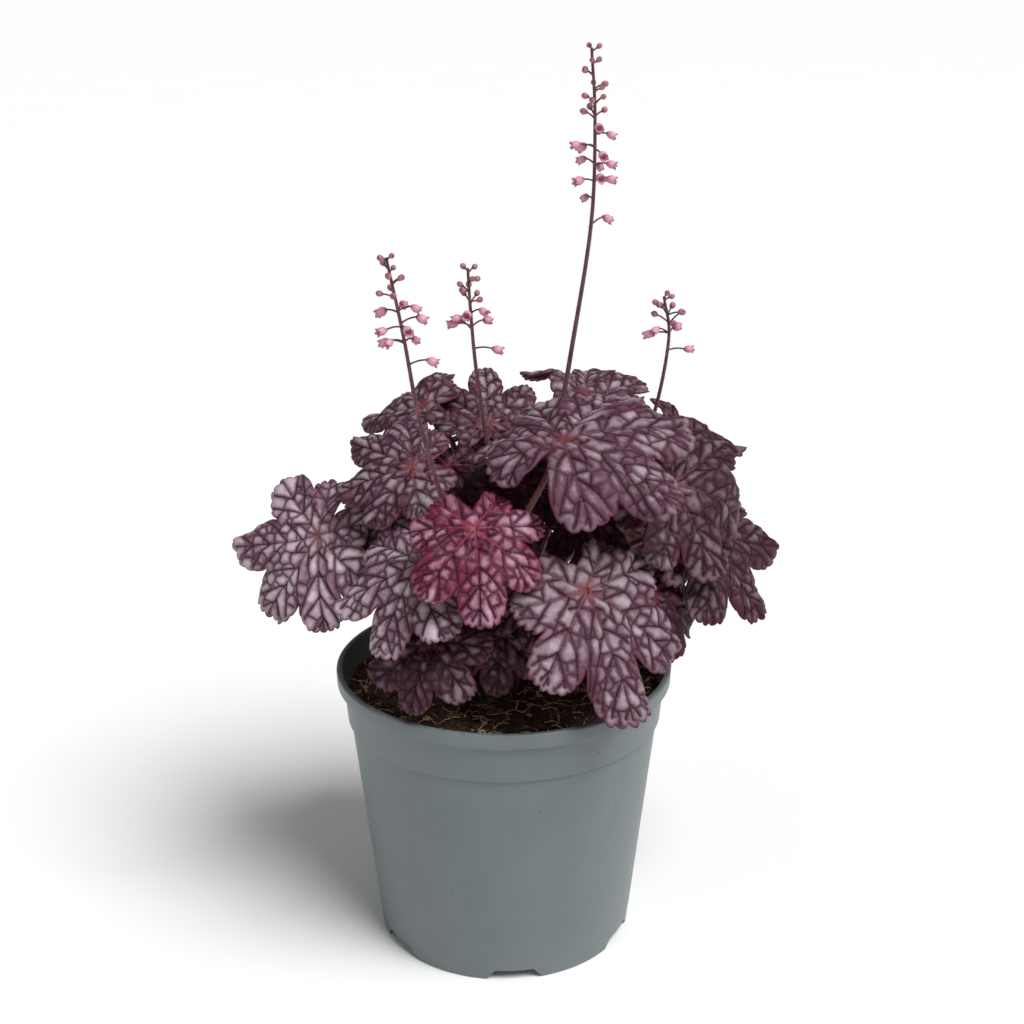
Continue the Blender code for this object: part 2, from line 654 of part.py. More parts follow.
def add_cutter(group: bpy.types.Collection, data: bmesh.types.BMesh, name: str) -> None:
    bmesh.ops.scale(data, vec=(MM, MM, MM), verts=data.verts)
    mesh = bpy.data.meshes.new(name)
    data.to_mesh(mesh)
    data.free()
    cutter = bpy.data.objects.new(name, mesh)
    cutter.hide_render = True
    cutter.display_type = "WIRE"
    group.objects.link(cutter)


def cut_with(target: bpy.types.Object, group: bpy.types.Collection) -> None:
    """Cut a collection's shapes from the target, apply it and remove them."""
    modifier = target.modifiers.new("cut", "BOOLEAN")
    modifier.operation = "DIFFERENCE"
    modifier.operand_type = "COLLECTION"
    modifier.collection = group
    modifier.solver = "EXACT"
    apply_and_clear(target, modifier, group)


def apply_and_clear(
    target: bpy.types.Object, modifier: bpy.types.Modifier, group: bpy.types.Collection
) -> None:
    bpy.context.view_layer.update()
    graph = bpy.context.evaluated_depsgraph_get()
    mesh = bpy.data.meshes.new_from_object(target.evaluated_get(graph))
    target.modifiers.remove(modifier)
    old = target.data
    target.data = mesh
    bpy.data.meshes.remove(old)
    for thing in list(group.objects):
        bpy.data.objects.remove(thing, do_unlink=True)
    bpy.data.collections.remove(group)


def shade_round(thing: bpy.types.Object) -> None:
    thing.data.shade_smooth()
    thing.data.set_sharp_from_angle(angle=math.radians(35))


def soil_height(x: float, y: float) -> float:
    """The uneven top of the soil, a little heaped about the crown."""
    heap = 2.0 * math.exp(-(x * x + y * y) / 900)
    return (
        SOIL_TOP - 1.0 + heap
        + 0.45 * SOIL_ROUGHNESS * math.sin(0.21 * x + 0.7) * math.cos(0.17 * y)
        + 0.35 * SOIL_ROUGHNESS * math.sin(0.43 * y - 0.31 * x)
    )


def inner_radius(height: float) -> float:
    """Radius of the pot's inside wall at a height."""
    inside = pot_profile()[:5]
    return float(np.interp(height, [h for _, h in inside], [r for r, _ in inside]))


def make_soil(feet: list[tuple[np.ndarray, float]], material: bpy.types.Material) -> bpy.types.Object:
    """The soil that fills the pot, with an uneven top and a plain hole for each stalk."""
    rng = random.Random(7)
    flat: list[Vector] = []
    edges: list[tuple[int, int]] = []
    rim = inner_radius(SOIL_TOP - 4) - SEAT_GAP
    for step in range(SOIL_SEGMENTS):
        turn = 2 * math.pi * step / SOIL_SEGMENTS
        flat.append(Vector((rim * math.cos(turn), rim * math.sin(turn))))
        edges.append((step, (step + 1) % SOIL_SEGMENTS))
    holes = []
    for (x, y), radius in feet:
        wide = (radius + SEAT_GAP + 0.05) / math.cos(math.pi / HOLE_SIDES)
        hole = []
        for step in range(HOLE_SIDES):
            turn = 2 * math.pi * step / HOLE_SIDES
            hole.append(len(flat))
            flat.append(Vector((x + wide * math.cos(turn), y + wide * math.sin(turn))))
        edges += [(a, b) for a, b in zip(hole, hole[1:] + hole[:1])]
        holes.append(hole)
    placed = 0
    while placed < SOIL_GRAINS:
        radius, turn = rim * math.sqrt(rng.random()) * 0.96, rng.uniform(0, 2 * math.pi)
        spot = Vector((radius * math.cos(turn), radius * math.sin(turn)))
        if min((spot - p).length for p in flat) > 5.0:
            flat.append(spot)
        placed += 1
    points, _, faces, *_ = delaunay_2d_cdt(flat, edges, [], 1, 1e-4)
    centres = [np.array(foot) for foot, _ in feet]
    data = bmesh.new()
    top = [data.verts.new((p.x, p.y, soil_height(p.x, p.y))) for p in points]
    for face in faces:
        middle = sum((points[i] for i in face), Vector((0, 0))) / len(face)
        if min(np.linalg.norm(np.array(middle) - c) for c in centres) > STALK_FOOT_RADIUS:
            data.faces.new([top[i] for i in face])
    for vert in [v for v in top if not v.link_faces]:
        data.verts.remove(vert)
    data.edges.ensure_lookup_table()
    seen: set = set()
    for edge in [e for e in data.edges if e.is_boundary]:
        if edge in seen:
            continue
        loop = boundary_from(edge)
        seen.update(loop_edges(loop))
        is_rim = max(math.hypot(v.co.x, v.co.y) for v in loop) > rim - 1
        close_down(data, loop, is_rim)
    bmesh.ops.triangulate(data, faces=[f for f in data.faces if len(f.verts) > 3])
    bmesh.ops.recalc_face_normals(data, faces=data.faces)
    return add_object("potting_soil", data, material)


def boundary_from(edge: bmesh.types.BMEdge) -> list[bmesh.types.BMVert]:
    """The closed loop of open edges that this edge is on."""
    loop = [edge.verts[0], edge.verts[1]]
    before = edge
    while True:
        following = [e for e in loop[-1].link_edges if e.is_boundary and e is not before][0]
        vert = following.other_vert(loop[-1])
        if vert is loop[0]:
            return loop
        loop.append(vert)
        before = following


def loop_edges(loop: list[bmesh.types.BMVert]) -> list[bmesh.types.BMEdge]:
    edges = []
    for a, b in zip(loop, loop[1:] + loop[:1]):
        edges.append([e for e in a.link_edges if e.other_vert(a) is b][0])
    return edges


def close_down(data: bmesh.types.BMesh, loop: list[bmesh.types.BMVert], is_rim: bool) -> None:
    """Walls and a bottom below a loop: down the pot's inside for the rim, to the hole's end for a hole."""
    levels = [SOIL_TOP + 1.0 - HOLE_DEPTH - SEAT_GAP]
    if is_rim:
        body_step = POT_HEIGHT - COLLAR_DEPTH
        levels = [body_step + 2.5, body_step - 1.0, FLOOR_LIFT + FLOOR_THICKNESS + SEAT_GAP]
    for level in levels:
        fresh = []
        for vert in loop:
            x, y = vert.co.x, vert.co.y
            if is_rim:
                scale = (inner_radius(level) - SEAT_GAP) / math.hypot(x, y)
                x, y = x * scale, y * scale
            fresh.append(data.verts.new((x, y, level)))
        for a in range(len(loop)):
            b = (a + 1) % len(loop)
            data.faces.new((loop[a], loop[b], fresh[b], fresh[a]))
        loop = fresh
    data.faces.new(loop)


@dataclass(frozen=True)
class Scape:
    """A flower stem: the points it passes above the leaves, and its florets.

    Args:
        way: Points of the stem above the crown, in millimetres, from low to high.
        flowers_from: Height where the florets begin, in millimetres.
        clusters: How many groups of florets there are on the way up.
        buds_from: Share of the clusters, from below, past which they are closed buds.
        seed: Seed of the small differences between florets.
    """

    way: tuple[tuple[float, float, float], ...]
    flowers_from: float
    clusters: int
    buds_from: float
    seed: int
    stalks: tuple[float, float] = (8.5, 3.0)


SCAPES = {
    "flower_stem_left": Scape(
        ((-17, -20, 195), (-27, -38, 240), (-38, -37, 282), (-45, -32, 322), (-52, -29, 357)), 309, 8, 0.5, 21
    ),
    "flower_stem_middle": Scape(
        ((-4, 8, 230), (-9, 10, 268), (-13, 9, 299), (-15, 6, 326), (-16, 3, 346)), 307, 7, 0.45, 26
    ),
    "flower_stem_tall": Scape(
        ((14, 18, 220), (28, 23, 268), (35, 24, 307), (43, 21, 365), (44, 20, 413), (42, 20, 445)),
        363, 12, 0.5, 23
    ),
    "flower_stem_right": Scape(
        ((30, 8, 200), (57, 9, 234), (73, 10, 268), (80, 6, 310), (77, 4, 332)), 306, 6, 0.35, 24
    ),
}


def stem_line(foot: np.ndarray, scape: Scape) -> np.ndarray:
    """A smooth line from the foot through the stem's points."""
    start = np.array((foot[0], foot[1], SOIL_TOP + 1.0))
    knots = [start - np.array((0, 0, 20.0)), start] + [np.array(p, float) for p in scape.way]
    knots.append(2 * knots[-1] - knots[-2])
    line = [start]
    for a, b, c, d in zip(knots, knots[1:], knots[2:], knots[3:]):
        for step in range(1, 9):
            t = step / 8
            square = (2 * a - 5 * b + 4 * c - d) * t * t
            cube = (3 * b - a - 3 * c + d) * t**3
            line.append(0.5 * (2 * b + (c - a) * t + square + cube))
    return np.array(line)


def tube(data: bmesh.types.BMesh, path: list[np.ndarray], radii: list[float], sides: int) -> None:
    """A closed round bar along a path."""
    rings = []
    lean = np.array((1.0, 0.0, 0.0))
    for index, point in enumerate(path):
        before, after = path[max(index - 1, 0)], path[min(index + 1, len(path) - 1)]
        tangent = (after - before) / np.linalg.norm(after - before)
        if abs(lean @ tangent) > 0.95:
            lean = np.array((0.0, 1.0, 0.0))
        lean = lean - tangent * (lean @ tangent)
        lean = lean / np.linalg.norm(lean)
        other = np.cross(tangent, lean)
        ring = []
        for side in range(sides):
            angle = 2 * math.pi * side / sides
            spot = point + radii[index] * (math.cos(angle) * lean + math.sin(angle) * other)
            ring.append(data.verts.new(spot))
        rings.append(ring)
    for low, high in zip(rings, rings[1:]):
        for a in range(sides):
            b = (a + 1) % sides
            data.faces.new((low[a], low[b], high[b], high[a]))
    data.faces.new(rings[0][::-1])
    data.faces.new(rings[-1])


def floret_profile(is_bud: bool, size: float) -> list[tuple[float, float]]:
    """Radius and distance along a floret, from the stalk to its mouth or tip, for a bell or a bud."""
    if is_bud:
        return [(0.6, -0.2), (1.3 * size, 1.5 * size), (0.6 * size, 3.1 * size)]
    return [(0.7, -0.3), (1.6 * size, 2.2 * size), (1.2 * size, 4.7 * size), (1.8 * size, 5.9 * size)]


def florets_of(line: np.ndarray, scape: Scape) -> list[dict]:
    """Where each floret sits: its root on the stem, its own stalk, direction, size and kind."""
    rng = random.Random(scape.seed)
    top = line[-1][2]
    found = []
    for cluster in range(scape.clusters):
        share = cluster / (scape.clusters - 1)
        height = scape.flowers_from + (top - 1.5 - scape.flowers_from) * share**0.78
        root = np.array([np.interp(height, line[:, 2], line[:, axis]) for axis in range(3)])
        is_bud = share > scape.buds_from
        count = 1 if share < 0.12 else 3 if share < 0.8 else 2
        turn = GOLDEN_TURN * cluster + rng.uniform(-20, 20)
        length = scape.stalks[0] + (scape.stalks[1] - scape.stalks[0]) * share
        for part in range(count):
            angle = math.radians(turn + (part - (count - 1) / 2) * 75 + rng.uniform(-14, 14))
            rise = rng.uniform(-0.15, 0.6) if not is_bud else rng.uniform(0.2, 1.2)
            out = np.array((math.cos(angle), math.sin(angle), rise))
            out = out / np.linalg.norm(out)
            drop = rng.uniform(-0.55, -0.1) if not is_bud else rng.uniform(0.1, 0.9)
            face = np.array((math.cos(angle), math.sin(angle), drop))
            found.append({
                "root": root + np.array((0, 0, rng.uniform(-1.0, 1.0))),
                "out": out, "face": face / np.linalg.norm(face),
                "length": length * rng.uniform(0.75, 1.15),
                "size": rng.uniform(0.9, 1.1) * (1.0 if not is_bud else 1.15 - 0.25 * share),
                "is_bud": is_bud,
            })
    return found


def make_scape(name: str, foot: np.ndarray, scape: Scape, material: bpy.types.Material) -> bpy.types.Object:
    """The stem with its florets on their own stalks, joined in one solid."""
    line = stem_line(foot, scape)
    path = [np.array((foot[0], foot[1], SOIL_TOP + 1.0 - HOLE_DEPTH))] + list(line[::4])
    radii = [1.7 + (0.75 - 1.7) * i / (len(path) - 1) for i in range(len(path))]
    data = bmesh.new()
    tube(data, path, radii, STEM_SIDES)
    stem = add_object(name, data, material)
    group = bpy.data.collections.new(name + "_florets")
    bpy.context.scene.collection.children.link(group)
    for index, floret in enumerate(florets_of(line, scape)):
        end = floret["root"] + floret["out"] * floret["length"]
        data = bmesh.new()
        tube(data, [floret["root"], end + floret["face"] * 0.8], [0.6, 0.45], PEDICEL_SIDES)
        add_cutter(group, data, f"{name}_pedicel_{index}")
        data = bmesh.new()
        profile = floret_profile(floret["is_bud"], floret["size"])
        places = [end + floret["face"] * distance for _, distance in profile]
        tube(data, places, [radius for radius, _ in profile], FLORET_SIDES)
        add_cutter(group, data, f"{name}_floret_{index}")
    modifier = stem.modifiers.new("join", "BOOLEAN")
    modifier.operation = "UNION"
    modifier.operand_type = "COLLECTION"
    modifier.collection = group
    modifier.solver = "EXACT"
    apply_and_clear(stem, modifier, group)
    return stem


def plan() -> dict:
    """Lay out the plant: pushed blades, feet, stalk paths and stem lines."""
    blades = [Blade(name, leaf, 40 + index) for index, (name, leaf) in enumerate(LEAVES.items())]
    layer(blades)
    free = crown_points(len(LEAVES) + len(SCAPES))
    feet = {}
    for name, scape in SCAPES.items():
        target = np.array(scape.way[0][:2]) * 0.35
        pick = min(range(len(free)), key=lambda i: np.linalg.norm(free[i] - target))
        feet[name] = free.pop(pick)
    for blade in blades:
        target = np.array(blade.leaf.navel[:2]) * 0.2
        pick = min(range(len(free)), key=lambda i: np.linalg.norm(free[i] - target))
        feet[blade.name] = free.pop(pick)
    router = Router(blades)
    for name, scape in SCAPES.items():
        router.lines.append(along(stem_line(feet[name], scape)[::4], np.linspace(0, 1, 60)))
    paths, spaces = {}, {}
    for blade in reversed(blades):
        path, space = router.route(feet[blade.name], blade)
        router.lines.append(filled(stalk_bends(path)))
        paths[blade.name], spaces[blade.name] = path, space
    return {"blades": blades, "feet": feet, "paths": paths, "spaces": spaces}


def main() -> None:
    for thing in list(bpy.data.objects):
        bpy.data.objects.remove(thing, do_unlink=True)
    layout = plan()
    make_pot(new_material("grey_plastic", (0.17, 0.198, 0.209), 0.45))
    holes = [(tuple(foot), STALK_FOOT_RADIUS) for foot in layout["feet"].values()]
    make_soil(holes, new_material("potting_soil", (0.035, 0.022, 0.014), 0.95))
    for index, blade in enumerate(layout["blades"]):
        tone = new_material(blade.name, (0.24, 0.13 + 0.01 * (index % 3), 0.19), 0.42)
        make_leaf(blade, layout["paths"][blade.name], tone)
    for name, scape in SCAPES.items():
        make_scape(name, layout["feet"][name], scape, new_material(name, (0.2, 0.06, 0.08), 0.5))


if __name__ == "__main__":
    main()
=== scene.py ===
"""Heuchera plant in a round grey nursery pot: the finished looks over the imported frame.

The plant is laid out in millimetres and each piece is turned into metres when it is finished. The origin
is on the pot's axis at its foot, +Z is up, and the camera looks along +Y.
"""

from __future__ import annotations

import json
import logging
import math
import random
from dataclasses import dataclass
from enum import Enum

import bmesh
import bpy
import numpy as np
from mathutils import Matrix, Vector, noise
from mathutils.bvhtree import BVHTree
from mathutils.geometry import delaunay_2d_cdt
from mathutils.kdtree import KDTree

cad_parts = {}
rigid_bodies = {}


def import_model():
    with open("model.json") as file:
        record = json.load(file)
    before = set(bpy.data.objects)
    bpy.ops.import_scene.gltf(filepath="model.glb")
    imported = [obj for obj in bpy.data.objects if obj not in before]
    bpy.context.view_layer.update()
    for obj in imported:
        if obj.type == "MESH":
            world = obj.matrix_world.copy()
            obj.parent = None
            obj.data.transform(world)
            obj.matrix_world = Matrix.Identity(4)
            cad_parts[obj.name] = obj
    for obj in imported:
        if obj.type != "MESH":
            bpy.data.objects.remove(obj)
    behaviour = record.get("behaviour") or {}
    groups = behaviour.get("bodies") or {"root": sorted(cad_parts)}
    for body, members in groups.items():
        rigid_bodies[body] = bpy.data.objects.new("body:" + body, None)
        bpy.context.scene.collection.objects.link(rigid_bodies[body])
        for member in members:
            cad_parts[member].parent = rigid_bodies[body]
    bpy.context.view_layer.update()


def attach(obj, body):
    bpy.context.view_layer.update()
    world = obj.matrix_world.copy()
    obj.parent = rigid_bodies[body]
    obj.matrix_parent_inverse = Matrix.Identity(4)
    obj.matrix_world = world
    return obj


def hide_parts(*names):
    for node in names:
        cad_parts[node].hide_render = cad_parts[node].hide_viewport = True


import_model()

Socket = bpy.types.NodeSocket
LOG = logging.getLogger("heuchera")
MM = 0.001
GOLDEN_TURN = 137.508
BATCH = 40

# Levels of the pot and the soil, in millimetres, as in the frame.
POT_HEIGHT = 145.8
SOIL_TOP = 134.0
HOLE_DEPTH = 9.0

# Lobes of a blade as turn from the main tip in degrees, length and teeth, then the clefts between them.
LOBES = (
    (-137, 0.64, 3), (-93, 0.82, 5), (-46, 0.94, 5), (0, 1.0, 5), (46, 0.94, 5), (93, 0.82, 5), (137, 0.64, 3)
)
CLEFTS = (
    (-164, 0.42), (-116, 0.57), (-69, 0.60), (-23, 0.64), (23, 0.64), (69, 0.60), (116, 0.57), (164, 0.42)
)
BASE_CLEFT = 0.20
LOBE_ROUNDNESS = 3.0

# Teeth: height as a share of the leaf's size, how blunt they are, how far the margin lies below their tips,
# and how high each second one is.
TOOTH_HEIGHT = 0.045
TOOTH_BLUNTNESS = 0.55
TOOTH_ROOT = 0.45
SECOND_TOOTH = 0.7

# Waves of the margin: how many there are round the blade, and their share of the ruffle.
SLOW_WAVES, SLOW_SHARE = 5, 0.6
QUICK_WAVES, QUICK_SHARE = 9, 0.4

# Heights of the fold at each cleft, as a share of the leaf's size, and where along the blade it peaks.
FOLD_HEIGHT = 0.085
FOLD_PEAK = 0.42
CLEFT_DROOP = 0.16

# Layering of the blades about the heart of the plant, and the stalks' feet on the crown.
HEART = np.array((0.0, 4.0, 140.0))
LAYER_GAP = 4.2
LAYER_REACH = 30.0
LATTICE_TURNS = 36
LATTICE_RINGS = (0.03, 0.3, 0.55, 0.8, 1.05)
CROWN_SPACING = 4.0
CROWN_CENTRE = (0.0, 2.0)
STALK_TOP_RADIUS = 1.45
STALK_FOOT_RADIUS = 1.85
STALK_ROOM = 0.9
BLADE_ROOM = 1.0
OWN_BLADE_REACH = 14.0
STALK_BENDS = (0.0, 0.25, 0.5, 0.75, 0.94, 1.0)

# Bends that are tried for a stalk, in the order of choice, in millimetres: sideways and outward.
STALK_SWINGS = (0, 8, -8, 16, -16, 24, -24, 34, -34, 46, -46)
STALK_BOWS = (0, -10, 10, -20, 20, 32)


def linear(code: str) -> tuple[float, float, float, float]:
    """Turn an sRGB hex colour into the linear colour that a shader socket takes.

    Args:
        code: Six hex digits, with or without a leading hash.

    Returns:
        Red, green, blue and an alpha of 1.
    """
    parts = [int(code.lstrip("#")[index : index + 2], 16) / 255 for index in (0, 2, 4)]
    return (*(p / 12.92 if p <= 0.04045 else ((p + 0.055) / 1.055) ** 2.4 for p in parts), 1.0)


def add_node(tree: bpy.types.NodeTree, kind: str, inputs: dict | None = None, **settings) -> bpy.types.Node:
    """Add one node with its settings, values and links.

    Args:
        tree: The node tree that it goes in.
        kind: Blender's name of the node type.
        inputs: A value or an output socket for each input, by name or index.
        settings: Properties of the node itself.

    Returns:
        The new node.
    """
    node = tree.nodes.new(kind)
    for name, value in settings.items():
        setattr(node, name, value)
    for key, value in (inputs or {}).items():
        if isinstance(value, Socket):
            tree.links.new(value, node.inputs[key])
        else:
            node.inputs[key].default_value = value
    return node


class Paint:
    """A new material, with short ways to add the nodes that the finishes share.

    Patterns lie in the piece's Object coordinates, which are metres: a scale of 1000 gives features of 1 mm.
    """

    def __init__(self, name: str, roughness: float = 0.5) -> None:
        """Start from the usual surface shader.

        Args:
            name: Name of the material.
            roughness: Its roughness, where that is the same all over.
        """
        self.material = bpy.data.materials.new(name)
        self.material.use_nodes = True
        self.tree = self.material.node_tree
        self.shader = self.tree.nodes["Principled BSDF"]
        self.shader.inputs["Roughness"].default_value = roughness
        self.where = add_node(self.tree, "ShaderNodeTexCoord").outputs["Object"]

    def channels(self, name: str) -> list[Socket]:
        """Give the three channels of a colour attribute of the mesh."""
        source = add_node(self.tree, "ShaderNodeAttribute", attribute_name=name)
        return list(add_node(self.tree, "ShaderNodeSeparateColor", {0: source.outputs["Color"]}).outputs)

    def noise(self, scale: float, detail: float, vector: Socket | None = None) -> Socket:
        """Add soft noise.

        Args:
            scale: Features a metre.
            detail: How many finer layers it has.
            vector: Where it is read, if not at the plain Object coordinates.

        Returns:
            Its value.
        """
        vector = self.where if vector is None else vector
        inputs = {"Vector": vector, "Scale": scale, "Detail": detail}
        return add_node(self.tree, "ShaderNodeTexNoise", inputs).outputs[0]

    def spread(
        self, source: Socket, low: float = 0.0, high: float = 1.0, to_low: float = 0.0, to_high: float = 1.0,
        eased: str = "LINEAR",
    ) -> Socket:
        """Stretch a value from the range of low to high onto another range, held at its ends."""
        inputs = {0: source, 1: low, 2: high, 3: to_low, 4: to_high}
        return add_node(self.tree, "ShaderNodeMapRange", inputs, interpolation_type=eased).outputs[0]

    def times(
        self, source: Socket, factor: float | Socket, plus: float | Socket = 0.0, clamped: bool = False
    ) -> Socket:
        """Multiply a value by a factor and add to it; a clamped result stays between 0 and 1."""
        settings = {"operation": "MULTIPLY_ADD", "use_clamp": clamped}
        return add_node(self.tree, "ShaderNodeMath", {0: source, 1: factor, 2: plus}, **settings).outputs[0]

    def mix(self, share: Socket, under: str | Socket, over: str | Socket) -> Socket:
        """Lay the second colour over the first by a share; each is a hex code or a socket."""
        low, high = (linear(colour) if isinstance(colour, str) else colour for colour in (under, over))
        return add_node(self.tree, "ShaderNodeMix", {0: share, 6: low, 7: high}, data_type="RGBA").outputs[2]

    def feed(self, name: str, source: Socket) -> None:
        """Link a value to an input of the surface shader."""
        self.tree.links.new(source, self.shader.inputs[name])

    def raise_skin(self, height: Socket, strength: float, distance: float) -> None:
        """Raise the skin where a value is high, by up to a distance in metres."""
        inputs = {"Height": height, "Strength": strength, "Distance": distance}
        self.feed("Normal", add_node(self.tree, "ShaderNodeBump", inputs).outputs[0])


class LeafTone(Enum):
    """A leaf's colours: partly its own, by its age, and partly painted light and shade by where it sits,
    lighter at the left and darker low, at the right and inside.
    """

    SILVER = "silver"
    GREY = "grey"
    DUSK = "dusk"
    PINK = "pink"
    WINE = "wine"


@dataclass(frozen=True)
class LeafFinish:
    """Living leaf, upper face: a waxy skin, silvered between sunken dark veins, satin and mottled.

    Args:
        silver: Middle of a cell where the skin is silvered.
        dusk: Middle of a cell where it is not.
        shade: The darker band along each vein, partly the leaf's own colour and partly painted shade in the
            sunken grooves.
        vein: The net of fine veins.
        rib: The main ribs near the stalk.
        margin: The edge of the blade.
        young: Tint towards the navel.
        silvering: Share of the skin that is silvered.
    """

    silver: str
    dusk: str
    shade: str
    vein: str
    rib: str
    margin: str
    young: str
    silvering: float

    def material(self, name: str) -> bpy.types.Material:
        """Build the node material.

        Args:
            name: Name of the material.

        Returns:
            The material, which reads the blade's own attributes.
        """
        paint = Paint(name)
        net, band, rib = paint.channels("veins")
        tone, margin, navel = paint.channels("place")
        # Mottling of about 3 mm, and clouds of about 25 mm over it.
        mottle, cloud = paint.noise(330.0, 4.0), paint.noise(40.0, 2.0)
        level = paint.times(tone, 0.55, self.silvering - 1.85)
        level = paint.times(mottle, 1.2, level)
        level = paint.times(cloud, 2.0, level)
        # The silver stops short of the veins, with a feathered edge.
        level = paint.times(band, -0.7, level, clamped=True)
        skin = paint.mix(level, self.dusk, self.silver)
        skin = paint.mix(paint.times(navel, 0.8), skin, self.young)
        # Painted shade: the band along the veins is darkened further, as if shaded in the grooves.
        skin = paint.mix(paint.times(band, 0.6), skin, self.shade)
        skin = paint.mix(margin, skin, self.margin)
        skin = paint.mix(paint.spread(net, 0.08, 0.95, to_high=0.95, eased="SMOOTHSTEP"), skin, self.vein)
        skin = paint.mix(paint.spread(rib, 0.25, to_high=0.85), skin, self.rib)
        paint.feed("Base Color", skin)
        paint.feed("Roughness", paint.spread(mottle, to_low=0.38, to_high=0.56))
        paint.shader.inputs["Specular IOR Level"].default_value = 0.2
        # Grain of the skin, about 0.5 mm, coarser than the real cells so that it shows.
        paint.raise_skin(paint.noise(1900.0, 3.0), 0.35, 0.00012)
        return paint.material


# The tones are partly lit and shaded copies of one silvered skin: GREY is painted lighter, DUSK and WINE
# darker.
LEAF_FINISHES = {
    LeafTone.SILVER: LeafFinish("A999A2", "654253", "4C2A37", "2A0D18", "7A3A3C", "521C32", "92404E", 0.58),
    LeafTone.GREY: LeafFinish("C8B6C1", "846172", "583C48", "32141F", "784244", "5A243A", "8A4650", 0.72),
    LeafTone.DUSK: LeafFinish("86717A", "4A2836", "381824", "1C0710", "70343A", "48162C", "84364A", 0.44),
    LeafTone.PINK: LeafFinish("BC94A8", "722946", "521830", "2A0814", "8C3C42", "58142E", "A43A5A", 0.5),
    LeafTone.WINE: LeafFinish("6E4256", "40122A", "2A0A18", "14040A", "6C2A31", "340A1C", "661630", 0.24),
}


@dataclass(frozen=True)
class UnderleafFinish:
    """Living leaf, lower face: matt and deep burgundy, with raised ribs a little lighter."""

    skin: str = "4F0F22"
    patch: str = "6E1F38"
    rib: str = "8A4350"

    def material(self) -> bpy.types.Material:
        """Build the node material, which reads the blade's rib attribute."""
        paint = Paint("leaf_underside", roughness=0.6)
        # Patches of about 6 mm, and a grain of 0.7 mm.
        skin = paint.mix(paint.noise(160.0, 4.0), self.skin, self.patch)
        paint.feed("Base Color", paint.mix(paint.channels("veins")[2], skin, self.rib))
        paint.raise_skin(paint.noise(1500.0, 3.0), 0.4, 0.0002)
        return paint.material


@dataclass(frozen=True)
class StalkFinish:
    """Green plant stem flushed red: smooth skin with fine lengthwise streaks.

    Args:
        name: Name of the material.
        light: Colour of the streaks.
        dark: Colour between them.
    """

    name: str
    light: str
    dark: str

    def material(self) -> bpy.types.Material:
        """Build the node material with streaks along the height of about 1 mm across."""
        paint = Paint(self.name, roughness=0.45)
        drawn = add_node(paint.tree, "ShaderNodeMapping", {"Vector": paint.where, "Scale": (1.0, 1.0, 0.12)})
        streak = paint.noise(900.0, 3.0, drawn.outputs[0])
        paint.feed("Base Color", paint.mix(paint.spread(streak, 0.35, 0.65), self.dark, self.light))
        paint.raise_skin(streak, 0.3, 0.0002)
        return paint.material


@dataclass(frozen=True)
class HairFinish:
    """Plant hair: clear and pale, so it reads as a light fringe along a dark stem."""

    name: str
    tint: str
    clear: str = "F4E9E8"

    def material(self) -> bpy.types.Material:
        """Build the node material, a pale tint that varies from hair to hair."""
        paint = Paint(self.name, roughness=0.4)
        paint.feed("Base Color", paint.mix(paint.noise(600.0, 2.0), self.tint, self.clear))
        return paint.material


@dataclass(frozen=True)
class PetalFinish:
    """Flower skin: soft and slightly silky, brown-red at the calyx, pink on the bell, dark at the tips."""

    name: str
    calyx: str
    bell: str
    light: str
    tip: str

    def material(self) -> bpy.types.Material:
        """Build the node material, a ramp on the floret's own length attribute."""
        paint = Paint(self.name, roughness=0.5)
        ramp = add_node(paint.tree, "ShaderNodeValToRGB", {0: paint.channels("place")[0]})
        stops = ((0.0, self.calyx), (0.2, self.bell), (0.55, self.light), (0.86, self.bell), (1.0, self.tip))
        elements = ramp.color_ramp.elements
        for index, (position, colour) in enumerate(stops):
            stop = elements[index] if index < 2 else elements.new(position)
            stop.position = position
            stop.color = linear(colour)
        # Fainter patches of about 2.5 mm.
        patch = paint.spread(paint.noise(420.0, 3.0), 0.4, 0.75, to_high=0.5)
        paint.feed("Base Color", paint.mix(patch, ramp.outputs[0], self.bell))
        return paint.material


@dataclass(frozen=True)
class PotFinish:
    """Injection-moulded polypropylene, slate grey: an even satin skin, with soil dust on the rim."""

    body: str = "666F72"
    worn: str = "757F82"
    speck: str = "3B352F"
    soil: str = "4A3A2C"

    def material(self) -> bpy.types.Material:
        """Build the node material, with soil dust on the top of the rim only."""
        paint = Paint("pot_polypropylene")
        # Faint handling marks of 10 to 30 mm.
        marks = paint.noise(45.0, 5.0)
        skin = paint.mix(paint.spread(marks, 0.35, 0.75, to_high=0.4), self.body, self.worn)
        # Specks under a millimetre across, a few over the whole wall.
        dots = add_node(paint.tree, "ShaderNodeTexVoronoi", {"Vector": paint.where, "Scale": 75.0})
        skin = paint.mix(paint.spread(dots.outputs["Distance"], 0.035, 0.055, 0.75, 0.0), skin, self.speck)
        axes = add_node(paint.tree, "ShaderNodeSeparateXYZ", {0: paint.where})
        high = paint.spread(axes.outputs[2], (POT_HEIGHT - 0.9) * MM, POT_HEIGHT * MM)
        dust = paint.spread(paint.noise(260.0, 5.0), 0.55, 0.75, to_high=0.7)
        paint.feed("Base Color", paint.mix(paint.times(dust, high), skin, self.soil))
        paint.feed("Roughness", paint.spread(marks, to_low=0.36, to_high=0.5))
        # The mould's fine texture, drawn at 0.6 mm so that it shows.
        paint.raise_skin(paint.noise(1600.0, 2.0), 0.12, 0.0001)
        return paint.material


